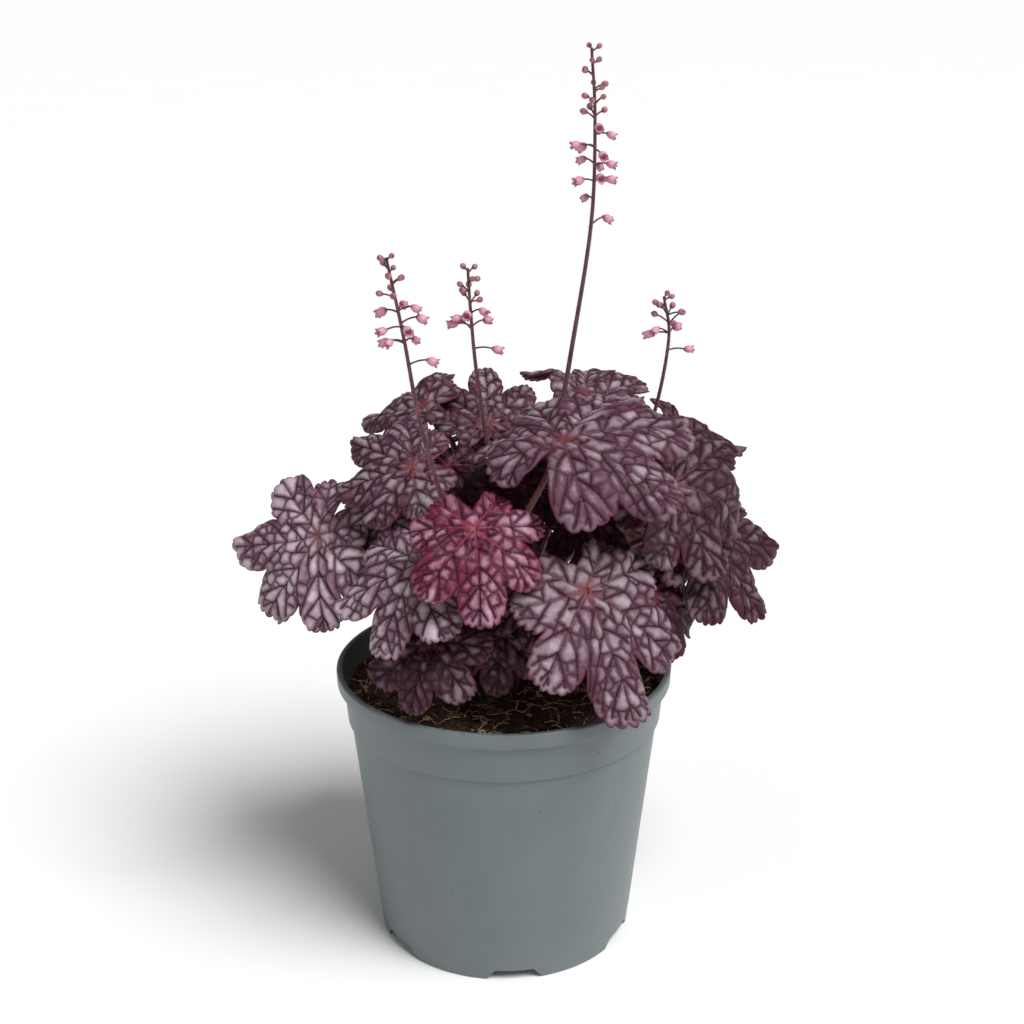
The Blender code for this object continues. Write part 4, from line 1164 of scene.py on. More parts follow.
class VeinNet:
    """Ribs, side veins and the net of fine veins of one blade, laid out flat in millimetres.

    CELL is the width of a cell on the largest leaf, STEP the distance between points of a vein that the mesh
    follows, SIDE_GAP the cells from one side vein to the next, MARCH the length of a step along a side vein,
    and BEND how much it turns per millimetre. INSIDE and EDGE are shares of the way to the margin where side
    veins and fine veins end.
    """

    CELL = 6.3
    STEP = 1.25
    SIDE_GAP = 1.75
    MARCH = 1.5
    BEND = 0.011
    INSIDE = 0.96
    EDGE = 0.97

    def __init__(self, blade: Blade, seed: int) -> None:
        """Draw the ribs, then the side veins, then the cells between them.

        Args:
            blade: The blade that they are drawn on.
            seed: Seed of their irregularities.
        """
        self.blade = blade
        self.size = blade.leaf.size
        self.cell = self.CELL * (self.size / 60) ** 0.55
        self.rng = np.random.default_rng(seed)
        self.ribs = self.draw_ribs()
        self.side_veins = self.draw_side_veins()
        self.seeds, self.sides = self.sow()
        self.net = self.draw_net()

    def share(self, flat: np.ndarray) -> np.ndarray:
        """Give the share of the way to the margin at each flat place."""
        return np.hypot(flat[..., 0], flat[..., 1]) / (self.blade.reach(turn_of(flat)) * self.size)

    def outline(self, step: float, out: float = 0.0) -> np.ndarray:
        """Walk the toothed margin.

        Args:
            step: Distance between points in millimetres.
            out: Distance to move the margin outward.

        Returns:
            Points round the margin, in order.
        """
        turns = np.linspace(-180, 180, 3600)
        reach = self.blade.reach(turns, toothed=out == 0.0) * self.size + out
        phi = np.radians(turns)
        line = np.stack([reach * np.sin(phi), reach * np.cos(phi)], -1)
        return along(line, np.linspace(0, 1, int(length_of(line) / step), endpoint=False))

    def draw_ribs(self) -> list[np.ndarray]:
        """Draw a slightly bowed rib from the navel to the tip of each lobe.

        Returns:
            A line of points for each lobe.
        """
        lines = []
        for centre, length in zip(self.blade.centres, self.blade.lengths):
            phi, t = math.radians(centre), np.linspace(0, 1, 25)[:, None]
            out = np.array((math.sin(phi), math.cos(phi)))
            side = np.array((math.cos(phi), -math.sin(phi)))
            bow = self.rng.uniform(-0.035, 0.035) * length * self.size
            lines.append(out * t * length * self.size * 0.97 + side * bow * np.sin(math.pi * t))
        return lines

    def draw_side_veins(self) -> list[np.ndarray]:
        """Draw veins that leave each rib on both sides and curve towards the lobe's tip.

        Returns:
            A line of points for each side vein.
        """
        lines = []
        for lobe, rib in enumerate(self.ribs):
            length = np.linalg.norm(rib[-1])
            for hand in (-1, 1):
                at = self.size * 0.12 + self.rng.uniform(0.1, 0.9) * self.cell
                while at < 0.93 * length:
                    start, ahead = along(rib, [at / length, at / length + 0.01])
                    heading = math.atan2(*(ahead - start))
                    heading += hand * math.radians(53 - 22 * at / length + self.rng.uniform(-4, 4))
                    line = self.march(start, heading, -hand * self.BEND, lobe)
                    if len(line) > 2:
                        lines.append(line)
                    at += self.cell * self.SIDE_GAP * self.rng.uniform(0.85, 1.15)
        return lines

    def march(self, start: np.ndarray, heading: float, curve: float, lobe: int) -> np.ndarray:
        """Walk from a rib until the margin or the next lobe.

        Args:
            start: Where the walk starts.
            heading: Its direction in radians from the main tip.
            curve: How much it turns per millimetre.
            lobe: The lobe that it stays in.

        Returns:
            Points of the walk.
        """
        points = [start]
        while len(points) < 60:
            spot = points[-1] + self.MARCH * np.array((math.sin(heading), math.cos(heading)))
            if self.share(spot) > self.INSIDE or self.blade.lobe_place(turn_of(spot))[0] != lobe:
                break
            points.append(spot)
            heading += curve * self.MARCH + self.rng.uniform(-0.05, 0.05)
        return np.array(points)

    def sow(self) -> tuple[np.ndarray, np.ndarray]:
        """Place the middles of the cells: in pairs beside each vein, then wherever there is room.

        Returns:
            The middles, and for each the vein that it lies beside, signed by side, or 0.
        """
        seeds, sides = np.full((1, 2), 1e3), [0]
        for number, line in enumerate(self.ribs + self.side_veins, start=1):
            total = length_of(line)
            at = self.cell * 0.7
            while at < total - 0.3 * self.cell:
                here, ahead = along(line, [at / total, min(at / total + 0.02, 1)])
                tangent = (ahead - here) / max(np.linalg.norm(ahead - here), 1e-9)
                off = np.array((tangent[1], -tangent[0])) * self.cell * self.rng.uniform(0.44, 0.52)
                pair = np.array((here + off, here - off))
                gaps = np.linalg.norm(seeds[None] - pair[:, None], axis=-1).min()
                if gaps > 0.68 * self.cell and self.share(pair).max() < self.EDGE:
                    seeds = np.concatenate([seeds, pair])
                    sides += [number, -number]
                at += self.cell * self.rng.uniform(0.9, 1.25)
        for spot in self.rng.uniform(-1.15, 1.15, (5000, 2)) * self.size:
            free = np.linalg.norm(seeds - spot, axis=1).min() > 0.8 * self.cell
            if free and self.share(spot) < self.INSIDE:
                seeds = np.concatenate([seeds, spot[None]])
                sides.append(0)
        return seeds[1:], np.array(sides[1:])

    def draw_net(self) -> list[np.ndarray]:
        """Draw the fine veins between neighbouring cells, ended on the ribs and side veins.

        Returns:
            A line of three points for each fine vein.
        """
        ghosts = self.outline(self.cell * 0.9, out=self.cell * 0.45)
        spots = np.concatenate([self.seeds, ghosts])
        _, _, faces, originals, *_ = delaunay_2d_cdt([Vector(p) for p in spots], [], [], 0, 1e-5)
        corners = np.array([[originals[i][0] for i in face] for face in faces])
        a, b, c = (spots[corners[:, k]] for k in range(3))
        twice = 2 * ((b - a)[:, 0] * (c - a)[:, 1] - (b - a)[:, 1] * (c - a)[:, 0])
        twice = np.where(np.abs(twice) < 1e-9, 1e-9, twice)
        bb, cc = ((b - a) ** 2).sum(1), ((c - a) ** 2).sum(1)
        across = ((c - a)[:, 1] * bb - (b - a)[:, 1] * cc) / twice
        up = ((b - a)[:, 0] * cc - (c - a)[:, 0] * bb) / twice
        centres = a + np.stack([across, up], -1)
        centres += self.rng.uniform(-0.05, 0.05, centres.shape) * self.cell
        main = search_tree(self.ribs + self.side_veins, 0.4)
        on_main = np.zeros(len(centres), bool)
        for index, centre in enumerate(centres):
            near, _, gap = main.find((*centre, 0))
            if gap < 0.26 * self.cell:
                centres[index] = near[:2]
                on_main[index] = True
        shared: dict[tuple[int, int], list[int]] = {}
        for index, face in enumerate(corners):
            for pair in ((face[0], face[1]), (face[1], face[2]), (face[2], face[0])):
                shared.setdefault((min(pair), max(pair)), []).append(index)
        lines = []
        for (i, j), owners in shared.items():
            if len(owners) < 2 or j >= len(self.seeds):
                continue
            if self.sides[i] and self.sides[i] == -self.sides[j]:
                continue
            if on_main[owners].all():
                continue
            line = self.fine_vein(centres[owners[0]], centres[owners[1]])
            if line is not None:
                lines.append(line)
        return lines

    def fine_vein(self, start: np.ndarray, end: np.ndarray) -> np.ndarray | None:
        """Bow a fine vein slightly and cut it at the margin.

        Args:
            start: One end.
            end: The other end.

        Returns:
            Three points, or None where nothing is left of it.
        """
        if self.share(start) > self.EDGE:
            start, end = end, start
        if self.share(start) > self.EDGE:
            return None
        while self.share(end) > 0.985:
            end = start + (end - start) * 0.85
        step = end - start
        if np.linalg.norm(step) < 0.4:
            return None
        bow = np.array((step[1], -step[0])) * self.rng.uniform(-0.1, 0.1)
        return np.array((start, (start + end) / 2 + bow, end))


def search_tree(lines: list[np.ndarray], step: float) -> KDTree:
    """Fill a search tree with close points along lines.

    Args:
        lines: Lines of flat points.
        step: Most distance between two points, in millimetres.

    Returns:
        The balanced tree.
    """
    return tree_over([p for line in lines for p in walk(line, step)])


def tree_over(spots: list[np.ndarray] | np.ndarray) -> KDTree:
    """Fill a balanced search tree with flat points."""
    tree = KDTree(len(spots))
    for index, (x, y) in enumerate(spots):
        tree.insert((x, y, 0), index)
    tree.balance()
    return tree


def walk(line: np.ndarray, step: float) -> np.ndarray:
    """Give evenly spaced points along a line, its ends included."""
    return along(line, np.linspace(0, 1, max(2, math.ceil(length_of(line) / step) + 1)))


def gaps_to(tree: KDTree, flat: np.ndarray) -> np.ndarray:
    """Measure from each flat place to the nearest point of a tree."""
    return np.array([tree.find((x, y, 0))[2] for x, y in flat])


@dataclass
class LeafMaker:
    """Makes a leaf: a puckered blade with veins, a red-backed underside and a hairy stalk.

    Args:
        layout: The plant's layout.
        finishes: Upper face material for each tone.
        underside: Material of the lower face.
        stalk: Material of the stalk.
        hair: Material of the stalk's hair.
        thickness: Thickness of the blade in millimetres, as all sizes here.
        pucker: Height of the widest cells over their veins.
        grooves: Depth of the ribs and of the side veins in the upper face.
        ridges: Height of the ribs and of the side veins on the lower face.
        grid: Distance between points of the mesh inside a cell.
        hairs: Millimetres of stalk for each hair, and the length of a hair.
    """

    layout: Layout
    finishes: dict[LeafTone, bpy.types.Material]
    underside: bpy.types.Material
    stalk: bpy.types.Material
    hair: bpy.types.Material
    thickness: float = 0.6
    pucker: float = 0.95
    grooves: tuple[float, float] = (0.55, 0.25)
    ridges: tuple[float, float] = (0.9, 0.35)
    grid: float = 1.45
    hairs: tuple[float, float] = (0.75, 1.7)

    def build(self, blade: Blade, seed: int) -> bpy.types.Object:
        """Build one leaf.

        Args:
            blade: The blade's form.
            seed: Seed of its veins.

        Returns:
            The finished piece.
        """
        data = bmesh.new()
        join_mesh(data, self.blade_mesh(blade, seed))
        self.add_stalk(data, blade, seed)
        materials = [self.finishes[blade.leaf.tone], self.underside, self.stalk, self.hair]
        return finish_piece(blade.name, data, materials)

    def blade_mesh(self, blade: Blade, seed: int) -> bpy.types.Mesh:
        """Make the blade with its thickness, relief and attributes.

        Args:
            blade: The blade's form.
            seed: Seed of its veins.

        Returns:
            The mesh in millimetres, upper face first, then the lower face.
        """
        net = VeinNet(blade, seed)
        flat, faces = self.triangles(net)
        trees = [search_tree(lines, 0.3) for lines in (net.ribs, net.side_veins, net.net)]
        to_rib, to_side, to_net = (gaps_to(tree, flat) for tree in trees)
        to_edge = gaps_to(search_tree([net.outline(0.5)], 0.5), flat)
        veins, place = self.marks(net, flat, to_rib, to_side, to_net, to_edge)
        middle = blade.surface(flat)
        normals = self.normals(middle, faces)
        nearest = np.minimum(np.minimum(to_rib, to_side), to_net)
        crown = 1 - (1 - np.clip(nearest / (0.5 * net.cell), 0, 1)) ** 2
        edge = np.clip(to_edge / 2.6, 0, 1)
        navel = np.clip(np.hypot(*flat.T) / (0.2 * net.size), 0.15, 1)
        relief = self.pucker * (net.size / 60) ** 0.5 * crown * edge * navel
        relief -= (self.grooves[0] * fade(to_rib, 1.0) + self.grooves[1] * fade(to_side, 0.8)) * edge * navel
        top = middle + normals * (self.thickness / 2 + relief - 0.3 * self.pucker)[:, None]
        mesh = bpy.data.meshes.new("blade")
        mesh.from_pydata([tuple(p) for p in top], [], faces)
        for name, values in (("veins", veins), ("place", place)):
            layer = mesh.color_attributes.new(name, "FLOAT_COLOR", "POINT")
            layer.data.foreach_set("color", np.column_stack([values, np.ones(len(values))]).ravel())
        for _ in range(2):
            mesh.materials.append(None)
        thing = add_object("blade", mesh)
        wall = thing.modifiers.new("wall", "SOLIDIFY")
        wall.thickness = self.thickness
        wall.offset = -1.0
        wall.material_offset = 1
        solid = baked(thing, "blade")
        points = np.empty(len(solid.vertices) * 3)
        solid.vertices.foreach_get("co", points)
        points = points.reshape(-1, 3)
        raised = self.ridges[0] * fade(to_rib, 0.9) * np.clip(1.2 - np.hypot(*flat.T) / net.size, 0, 1)
        raised += self.ridges[1] * fade(to_side, 0.6)
        points[len(flat) :] -= normals * (raised * edge)[:, None]
        solid.vertices.foreach_set("co", points.ravel())
        return solid

    @staticmethod
    def normals(points: np.ndarray, faces: list[list[int]]) -> np.ndarray:
        """Give the mean normal of the faces round each point.

        Args:
            points: World points.
            faces: Triangles.

        Returns:
            Unit normals.
        """
        corners = np.array(faces)
        a, b, c = (points[corners[:, k]] for k in range(3))
        cross = np.cross(b - a, c - a)
        total = np.zeros_like(points)
        for k in range(3):
            np.add.at(total, corners[:, k], cross)
        return total / np.maximum(np.linalg.norm(total, axis=1, keepdims=True), 1e-12)

    def triangles(self, net: VeinNet) -> tuple[np.ndarray, list[list[int]]]:
        """Split the flat blade into triangles whose edges follow the margin and every vein.

        Args:
            net: The blade's veins.

        Returns:
            Flat points and triangles.
        """
        margin = net.outline(0.8)
        spots = [tuple(p) for p in margin]
        edges = [(i, (i + 1) % len(margin)) for i in range(len(margin))]
        beside = []
        for lines, width in ((net.ribs, 0.7), (net.side_veins, 0.5), (net.net, 0.42)):
            for line in lines:
                dots = walk(line, net.STEP)
                edges += [(len(spots) + i, len(spots) + i + 1) for i in range(len(dots) - 1)]
                spots += [tuple(p) for p in dots]
                middles = (dots[1:] + dots[:-1]) / 2
                step = np.diff(dots, axis=0)
                off = np.stack([step[:, 1], -step[:, 0]], -1)
                off = off / np.linalg.norm(step, axis=1, keepdims=True) * width
                beside += [middles + off, middles - off]
        tree = search_tree(net.ribs + net.side_veins + net.net, 0.4)
        edge = search_tree([margin], 0.6)
        beside = np.concatenate(beside)
        beside = beside[(gaps_to(tree, beside) > 0.3) & (net.share(beside) < 0.97)]
        across = np.arange(-1.15 * net.size, 1.15 * net.size, self.grid)
        grid = np.stack(np.meshgrid(across, across * 0.9), -1).reshape(-1, 2)
        grid = grid + net.rng.uniform(-0.3, 0.3, grid.shape)
        grid = grid[net.share(grid) < 1]
        grid = grid[gaps_to(tree, grid) > 1.0]
        inner = np.concatenate([beside, grid])
        inner = inner[gaps_to(edge, inner) > 0.5]
        spots += [tuple(p) for p in inner]
        points, _, faces, *_ = delaunay_2d_cdt([Vector(p) for p in spots], edges, [], 1, 0.08)
        flat = np.array([tuple(p) for p in points])
        used = sorted({i for face in faces for i in face})
        order = {old: new for new, old in enumerate(used)}
        return flat[used], [[order[i] for i in face] for face in faces]

    @staticmethod
    def marks(
        net: VeinNet, flat: np.ndarray, to_rib: np.ndarray, to_side: np.ndarray, to_net: np.ndarray,
        to_edge: np.ndarray,
    ) -> tuple[np.ndarray, np.ndarray]:
        """Work out what the leaf's materials read at each point.

        Args:
            net: The blade's veins.
            flat: Flat points.
            to_rib: Distance to the nearest rib, in millimetres.
            to_side: Distance to the nearest side vein.
            to_net: Distance to the nearest fine vein.
            to_edge: Distance to the margin.

        Returns:
            Dark vein, shaded band and red rib; then cell tone, margin and navel, all from 0 to 1.
        """
        out = np.hypot(*flat.T) / net.size
        rib = fade(to_rib, 0.55 * np.clip(1.15 - out, 0.5, 1))
        dark = np.maximum(fade(to_side, 0.58), 0.9 * fade(to_net, 0.42))
        dark = np.maximum(dark, rib * np.clip(out * 1.5, 0, 1))
        nearest = np.minimum(np.minimum(to_rib, to_side), to_net)
        # A band along every vein: it keeps the silver off the veins and carries the painted shade of the
        # grooves.
        band = fade(nearest, 0.18 * net.cell)
        seeds = tree_over(net.seeds)
        tones = net.rng.uniform(0, 1, len(net.seeds))
        tone = np.array([tones[seeds.find((x, y, 0))[1]] for x, y in flat])
        cleft = np.abs(net.blade.lobe_place(turn_of(flat))[1]) ** 3
        tone = np.clip(tone - 1.5 * cleft * np.clip(1.3 * out, 0, 1), -1.4, 1)
        margin = 0.8 * fade(to_edge, 0.9) + 0.15 * fade(to_edge, 3.0)
        navel = fade(out, 0.07)
        red = rib * np.clip(1.15 - 1.6 * out, 0, 1)
        veins = np.stack([np.clip(0.92 * dark, 0, 1), band, np.clip(red, 0, 1)], -1)
        return veins, np.stack([tone, np.clip(margin, 0, 1), navel], -1)

    def add_stalk(self, data: bmesh.types.BMesh, blade: Blade, seed: int) -> None:
        """Add the stalk from the soil to the navel, flared under the blade, with its hair.

        Args:
            data: The leaf's mesh.
            blade: The blade's form.
            seed: Seed of the hairs.
        """
        path = self.layout.paths[blade.name].copy()
        path[-1] -= 0.5 * blade.axes[2]
        foot = path[0] - np.array((0, 0, HOLE_DEPTH - 1.0))
        path = walk(np.concatenate([foot[None], path]), 3.0)
        share = np.linspace(0, 1, len(path))
        radii = STALK_FOOT_RADIUS + (STALK_TOP_RADIUS - STALK_FOOT_RADIUS) * share
        radii += 0.9 * np.exp(-((1 - share) / 0.02)) + 0.9 * np.exp(-share / 0.08)
        join_mesh(data, tubes([(path, radii)], 3), 2)
        add_hairs(data, path, radii, *self.hairs, 3, seed)


@dataclass
class Floret:
    """One flower: where it sits on the stem and how it hangs.

    Args:
        root: Where its stalk leaves the stem, in millimetres.
        out: Direction of its stalk.
        face: Where it looks.
        length: Length of its stalk in millimetres.
        size: Its size as a share of the usual one.
        is_bud: Whether it is still closed.
    """

    root: np.ndarray
    out: np.ndarray
    face: np.ndarray
    length: float
    size: float
    is_bud: bool

    def end(self) -> np.ndarray:
        """Give the point where stalk and flower meet."""
        return self.root + self.out * self.length

    def stalk(self) -> tuple[np.ndarray, np.ndarray]:
        """Draw its stalk, arched a little, as points and radii."""
        t = np.linspace(0, 1, 7)[:, None]
        bend = (self.root + self.end()) / 2 + np.array((0, 0, 0.16 * self.length))
        way = (1 - t) ** 2 * self.root + 2 * t * (1 - t) * bend + t * t * (self.end() + self.face * 0.3)
        return way, np.linspace(0.46, 0.42, 7)


@dataclass
class FlowerMaker:
    """Makes a flower stem: a tapered hairy stem with bells below and buds above, on their own thin stalks.

    Args:
        layout: The plant's layout.
        materials: Stem, hair, bell and bud.
        radii: Radius of the stem at its foot and at its tip, in millimetres.
        hairs: Millimetres of stem for each hair, and the length of a hair.
    """

    layout: Layout
    materials: list[bpy.types.Material]
    radii: tuple[float, float] = (1.75, 0.68)
    hairs: tuple[float, float] = (0.42, 1.5)

    def build(self, name: str, scape: Scape) -> bpy.types.Object:
        """Build one flower stem.

        Args:
            name: Name of the frame's node.
            scape: Its way and florets.

        Returns:
            The finished piece.
        """
        data = bmesh.new()
        line = stem_line(self.layout.feet[name], scape)
        foot = line[0] - np.array((0, 0, HOLE_DEPTH - 1.0))
        path = walk(np.concatenate([foot[None], line]), 3.0)
        radii = np.linspace(*self.radii, len(path))
        join_mesh(data, tubes([(path, radii)], 3), 0)
        data.verts.layers.float_color.new("place")
        add_hairs(data, path, radii, *self.hairs, 1, scape.seed)
        florets = self.florets(line, scape)
        join_mesh(data, tubes([floret.stalk() for floret in florets], 1), 0)
        bell, bud = self.bell(), self.bud()
        for floret in florets:
            template = (bud if floret.is_bud else bell).copy()
            template.transform(facing(floret.end(), floret.face) @ Matrix.Scale(floret.size, 4))
            join_mesh(data, template, 3 if floret.is_bud else 2)
        for template in (bell, bud):
            bpy.data.meshes.remove(template)
        return finish_piece(name, data, self.materials)

    @staticmethod
    def florets(line: np.ndarray, scape: Scape) -> list[Floret]:
        """Draw where each floret sits, as in the frame.

        Args:
            line: The stem's points.
            scape: The flower stem.

        Returns:
            The florets, from low to high.
        """
        rng = random.Random(scape.seed)
        top = line[-1][2]
        found = []
        for cluster in range(scape.clusters):
            share = cluster / (scape.clusters - 1)
            height = scape.flowers_from + (top - 1.5 - scape.flowers_from) * share**0.78
            root = np.array([np.interp(height, line[:, 2], line[:, axis]) for axis in range(3)])
            is_bud = share > scape.buds_from
            count = 1 if share < 0.12 else 3 if share < 0.8 else 2
            turn = GOLDEN_TURN * cluster + rng.uniform(-20, 20)
            length = scape.stalks[0] + (scape.stalks[1] - scape.stalks[0]) * share
            for part in range(count):
                angle = math.radians(turn + (part - (count - 1) / 2) * 75 + rng.uniform(-14, 14))
                rise = rng.uniform(0.2, 1.2) if is_bud else rng.uniform(-0.15, 0.6)
                out = np.array((math.cos(angle), math.sin(angle), rise))
                drop = rng.uniform(0.1, 0.9) if is_bud else rng.uniform(-0.55, -0.1)
                face = np.array((math.cos(angle), math.sin(angle), drop))
                spot = root + np.array((0, 0, rng.uniform(-1.0, 1.0)))
                reach = length * rng.uniform(0.75, 1.15)
                size = rng.uniform(0.9, 1.1) * (1.15 - 0.25 * share if is_bud else 1.0)
                found.append(Floret(spot, unit(out), unit(face), reach, size, is_bud))
        return found

    @staticmethod
    def turned(profile: list[tuple[float, float, float]], marks: list[float]) -> bpy.types.Mesh:
        """Turn a floret from its profile, with five lobes.

        Args:
            profile: For each ring its radius, its distance along the floret and the depth of its five lobes.
            marks: For each ring the place on the colour ramp, from 0 to 1.

        Returns:
            The closed mesh, facing +Z.
        """
        data = bmesh.new()
        layer = data.verts.layers.float_color.new("place")
        rings = []
        for radius, height, lobe in profile:
            made = bmesh.ops.create_circle(data, segments=15, radius=radius)["verts"]
            for index, vert in enumerate(made):
                wave = math.cos(5 * math.atan2(vert.co.y, vert.co.x))
                vert.co *= 1 + 0.12 * lobe * wave
                vert.co.z = height + lobe * wave
            rings.append(made)
        for made, mark in zip(rings, marks):
            for vert in made:
                vert[layer] = (mark, 0, 0, 1)
        for low, high in zip(rings, rings[1:]):
            edges = [e for ring in (low, high) for e in data.edges if all(v in ring for v in e.verts)]
            bmesh.ops.bridge_loops(data, edges=edges)
        close_up(data)
        return mesh_of(data, "floret")

    def bell(self) -> bpy.types.Mesh:
        """Make an open bell with five flared lobes and a hollow mouth."""
        profile = [
            (0.45, -0.4, 0), (0.9, 0.1, 0), (1.5, 0.9, 0), (1.95, 1.9, 0), (2.0, 2.9, 0), (1.75, 3.8, 0.1),
            (1.8, 4.4, 0.4), (2.1, 4.9, 0.7), (1.85, 4.8, 0.65), (1.4, 4.1, 0.25), (1.2, 2.9, 0),
        ]
        return self.turned(profile, [0, 0.05, 0.25, 0.45, 0.55, 0.7, 0.85, 1.0, 0.95, 0.3, 0.1])

    def bud(self) -> bpy.types.Mesh:
        """Make a closed round bud with five shallow lobes."""
        profile = [
            (0.45, -0.3, 0), (0.95, 0.3, 0), (1.4, 1.1, 0.04), (1.5, 1.9, 0.08), (1.15, 2.7, 0.1),
            (0.5, 3.2, 0.1),
        ]
        return self.turned(profile, [0, 0.1, 0.35, 0.6, 0.8, 1.0])


@dataclass
class Pot:
    """The moulded pot: a lipped rim over a collar, a tapered wall, and a foot ring with notches.

    Args:
        material: Its plastic.
        rim_radius: Radius to the outside of the rim, in millimetres, as all sizes here.
        lip_depth: Height of the rolled rim.
        collar_depth: Height of rim and collar together.
        collar_radii: Radius at the collar's top and foot.
        body_radii: Radius at the wall's top and at the foot.
        wall: Thickness of the wall.
        rim_wall: Thickness of the rim.
        floor_lift: Height of the floor's underside.
        floor_thickness: Thickness of the floor.
        foot_ring: Width of the foot ring.
        notches: Count, height, width at the top, width at the foot and turn of the first, in degrees.
        drains: Count, radius and distance from the axis.
        steps: Segments round the pot.
    """

    material: bpy.types.Material
    rim_radius: float = 85.0
    lip_depth: float = 7.4
    collar_depth: float = 26.9
    collar_radii: tuple[float, float] = (81.6, 79.8)
    body_radii: tuple[float, float] = (78.4, 65.3)
    wall: float = 2.0
    rim_wall: float = 3.2
    floor_lift: float = 6.0
    floor_thickness: float = 2.4
    foot_ring: float = 4.2
    notches: tuple[int, float, float, float, float] = (6, 5.6, 19.0, 29.0, -86.0)
    drains: tuple[int, float, float] = (6, 5.0, 42.0)
    steps: int = 180

    def profile(self) -> list[tuple[float, float]]:
        """Give radius and height from the floor inside, over the rim, to the underside."""
        step = POT_HEIGHT - self.collar_depth
        floor_top = self.floor_lift + self.floor_thickness
        inside = self.body_radii[1] + (self.body_radii[0] - self.body_radii[1]) / step * floor_top - self.wall
        inner_rim = self.rim_radius - self.rim_wall
        return [
            (inside, floor_top), (self.body_radii[0] - self.wall, step - 1.0),
            (self.collar_radii[1] - self.wall, step + 2.5),
            (self.collar_radii[0] - self.wall, POT_HEIGHT - self.lip_depth - 1.0),
            (inner_rim, POT_HEIGHT - 4.0), (inner_rim, POT_HEIGHT), (self.rim_radius, POT_HEIGHT),
            (self.rim_radius - 0.3, POT_HEIGHT - self.lip_depth),
            (self.collar_radii[0], POT_HEIGHT - self.lip_depth),
            (self.collar_radii[1], step), (self.body_radii[0], step),
            (self.body_radii[1] + 1.1, 9.6), (self.body_radii[1] + 0.93, 9.2),
            (self.body_radii[1], 0.0), (self.body_radii[1] - self.foot_ring, 0.0),
            (self.body_radii[1] - self.foot_ring - 0.8, self.floor_lift),
        ]

    def build(self) -> bpy.types.Object:
        """Spin the profile, round its edges, then cut the notches and drains.

        Returns:
            The finished piece.
        """
        data = bmesh.new()
        spin_profile(data, self.profile(), self.steps)
        for height, radius, width in self.rounded():
            ring = [edge for edge in data.edges if all(self.is_at(v, height, radius) for v in edge.verts)]
            bmesh.ops.bevel(
                data, geom=ring, offset=width, segments=3, profile=0.5, affect="EDGES", material=-1
            )
        pot = add_object("pot_blank", mesh_of(data, "pot"))
        cutters = bpy.data.collections.new("pot_cutters")
        bpy.context.scene.collection.children.link(cutters)
        self.add_cutters(cutters)
        cut = pot.modifiers.new("cut", "BOOLEAN")
        cut.operation = "DIFFERENCE"
        cut.operand_type = "COLLECTION"
        cut.collection = cutters
        cut.solver = "EXACT"
        solid = baked(pot, "pot")
        for cutter in list(cutters.objects):
            bpy.data.objects.remove(cutter, do_unlink=True)
        bpy.data.collections.remove(cutters)
        data = bmesh.new()
        join_mesh(data, solid, 0)
        piece = finish_piece("pot", data, [self.material])
        piece.data.set_sharp_from_angle(angle=math.radians(32))
        return piece

    @staticmethod
    def is_at(vert: bmesh.types.BMVert, height: float, radius: float) -> bool:
        """Tell whether a corner lies on a ring of the profile."""
        return abs(vert.co.z - height) < 0.01 and abs(math.hypot(vert.co.x, vert.co.y) - radius) < 0.05

    def rounded(self) -> list[tuple[float, float, float]]:
        """Give height, radius and width of each edge that the mould rounds."""
        step = POT_HEIGHT - self.collar_depth
        return [
            (POT_HEIGHT, self.rim_radius, 1.3), (POT_HEIGHT, self.rim_radius - self.rim_wall, 0.9),
            (POT_HEIGHT - self.lip_depth, self.rim_radius - 0.3, 0.5), (step, self.collar_radii[1], 0.4),
            (0.0, self.body_radii[1], 0.9), (POT_HEIGHT - self.lip_depth, self.collar_radii[0], 0.4),
        ]

    def add_cutters(self, group: bpy.types.Collection) -> None:
        """Add the wedges that cut the notches and the bars that cut the drains."""
        count, height, top_width, foot_width, first = self.notches
        shapes = []
        for index in range(count):
            data = bmesh.new()
            bmesh.ops.create_cube(data, size=1)
            for vert in data.verts:
                low = vert.co.z < 0
                vert.co.x = self.body_radii[1] + (4.0 if vert.co.x > 0 else -self.foot_ring - 2.5)
                vert.co.y *= foot_width + 0.6 if low else top_width
                vert.co.z = -0.6 if low else height
            turn = math.radians(first + 360 / count * index)
            bmesh.ops.rotate(data, cent=(0, 0, 0), matrix=Matrix.Rotation(turn, 3, "Z"), verts=data.verts)
            shapes.append(data)
        count, radius, away = self.drains
        for index in range(count):
            data = bmesh.new()
            bmesh.ops.create_cone(data, cap_ends=True, segments=32, radius1=radius, radius2=radius, depth=10)
            turn = math.radians(first + 30 + 360 / count * index)
            spot = (away * math.cos(turn), away * math.sin(turn), self.floor_lift)
            bmesh.ops.translate(data, vec=spot, verts=data.verts)
            shapes.append(data)
        for index, data in enumerate(shapes):
            name = f"cutter_{index}"
            group.objects.link(bpy.data.objects.new(name, mesh_of(data, name)))


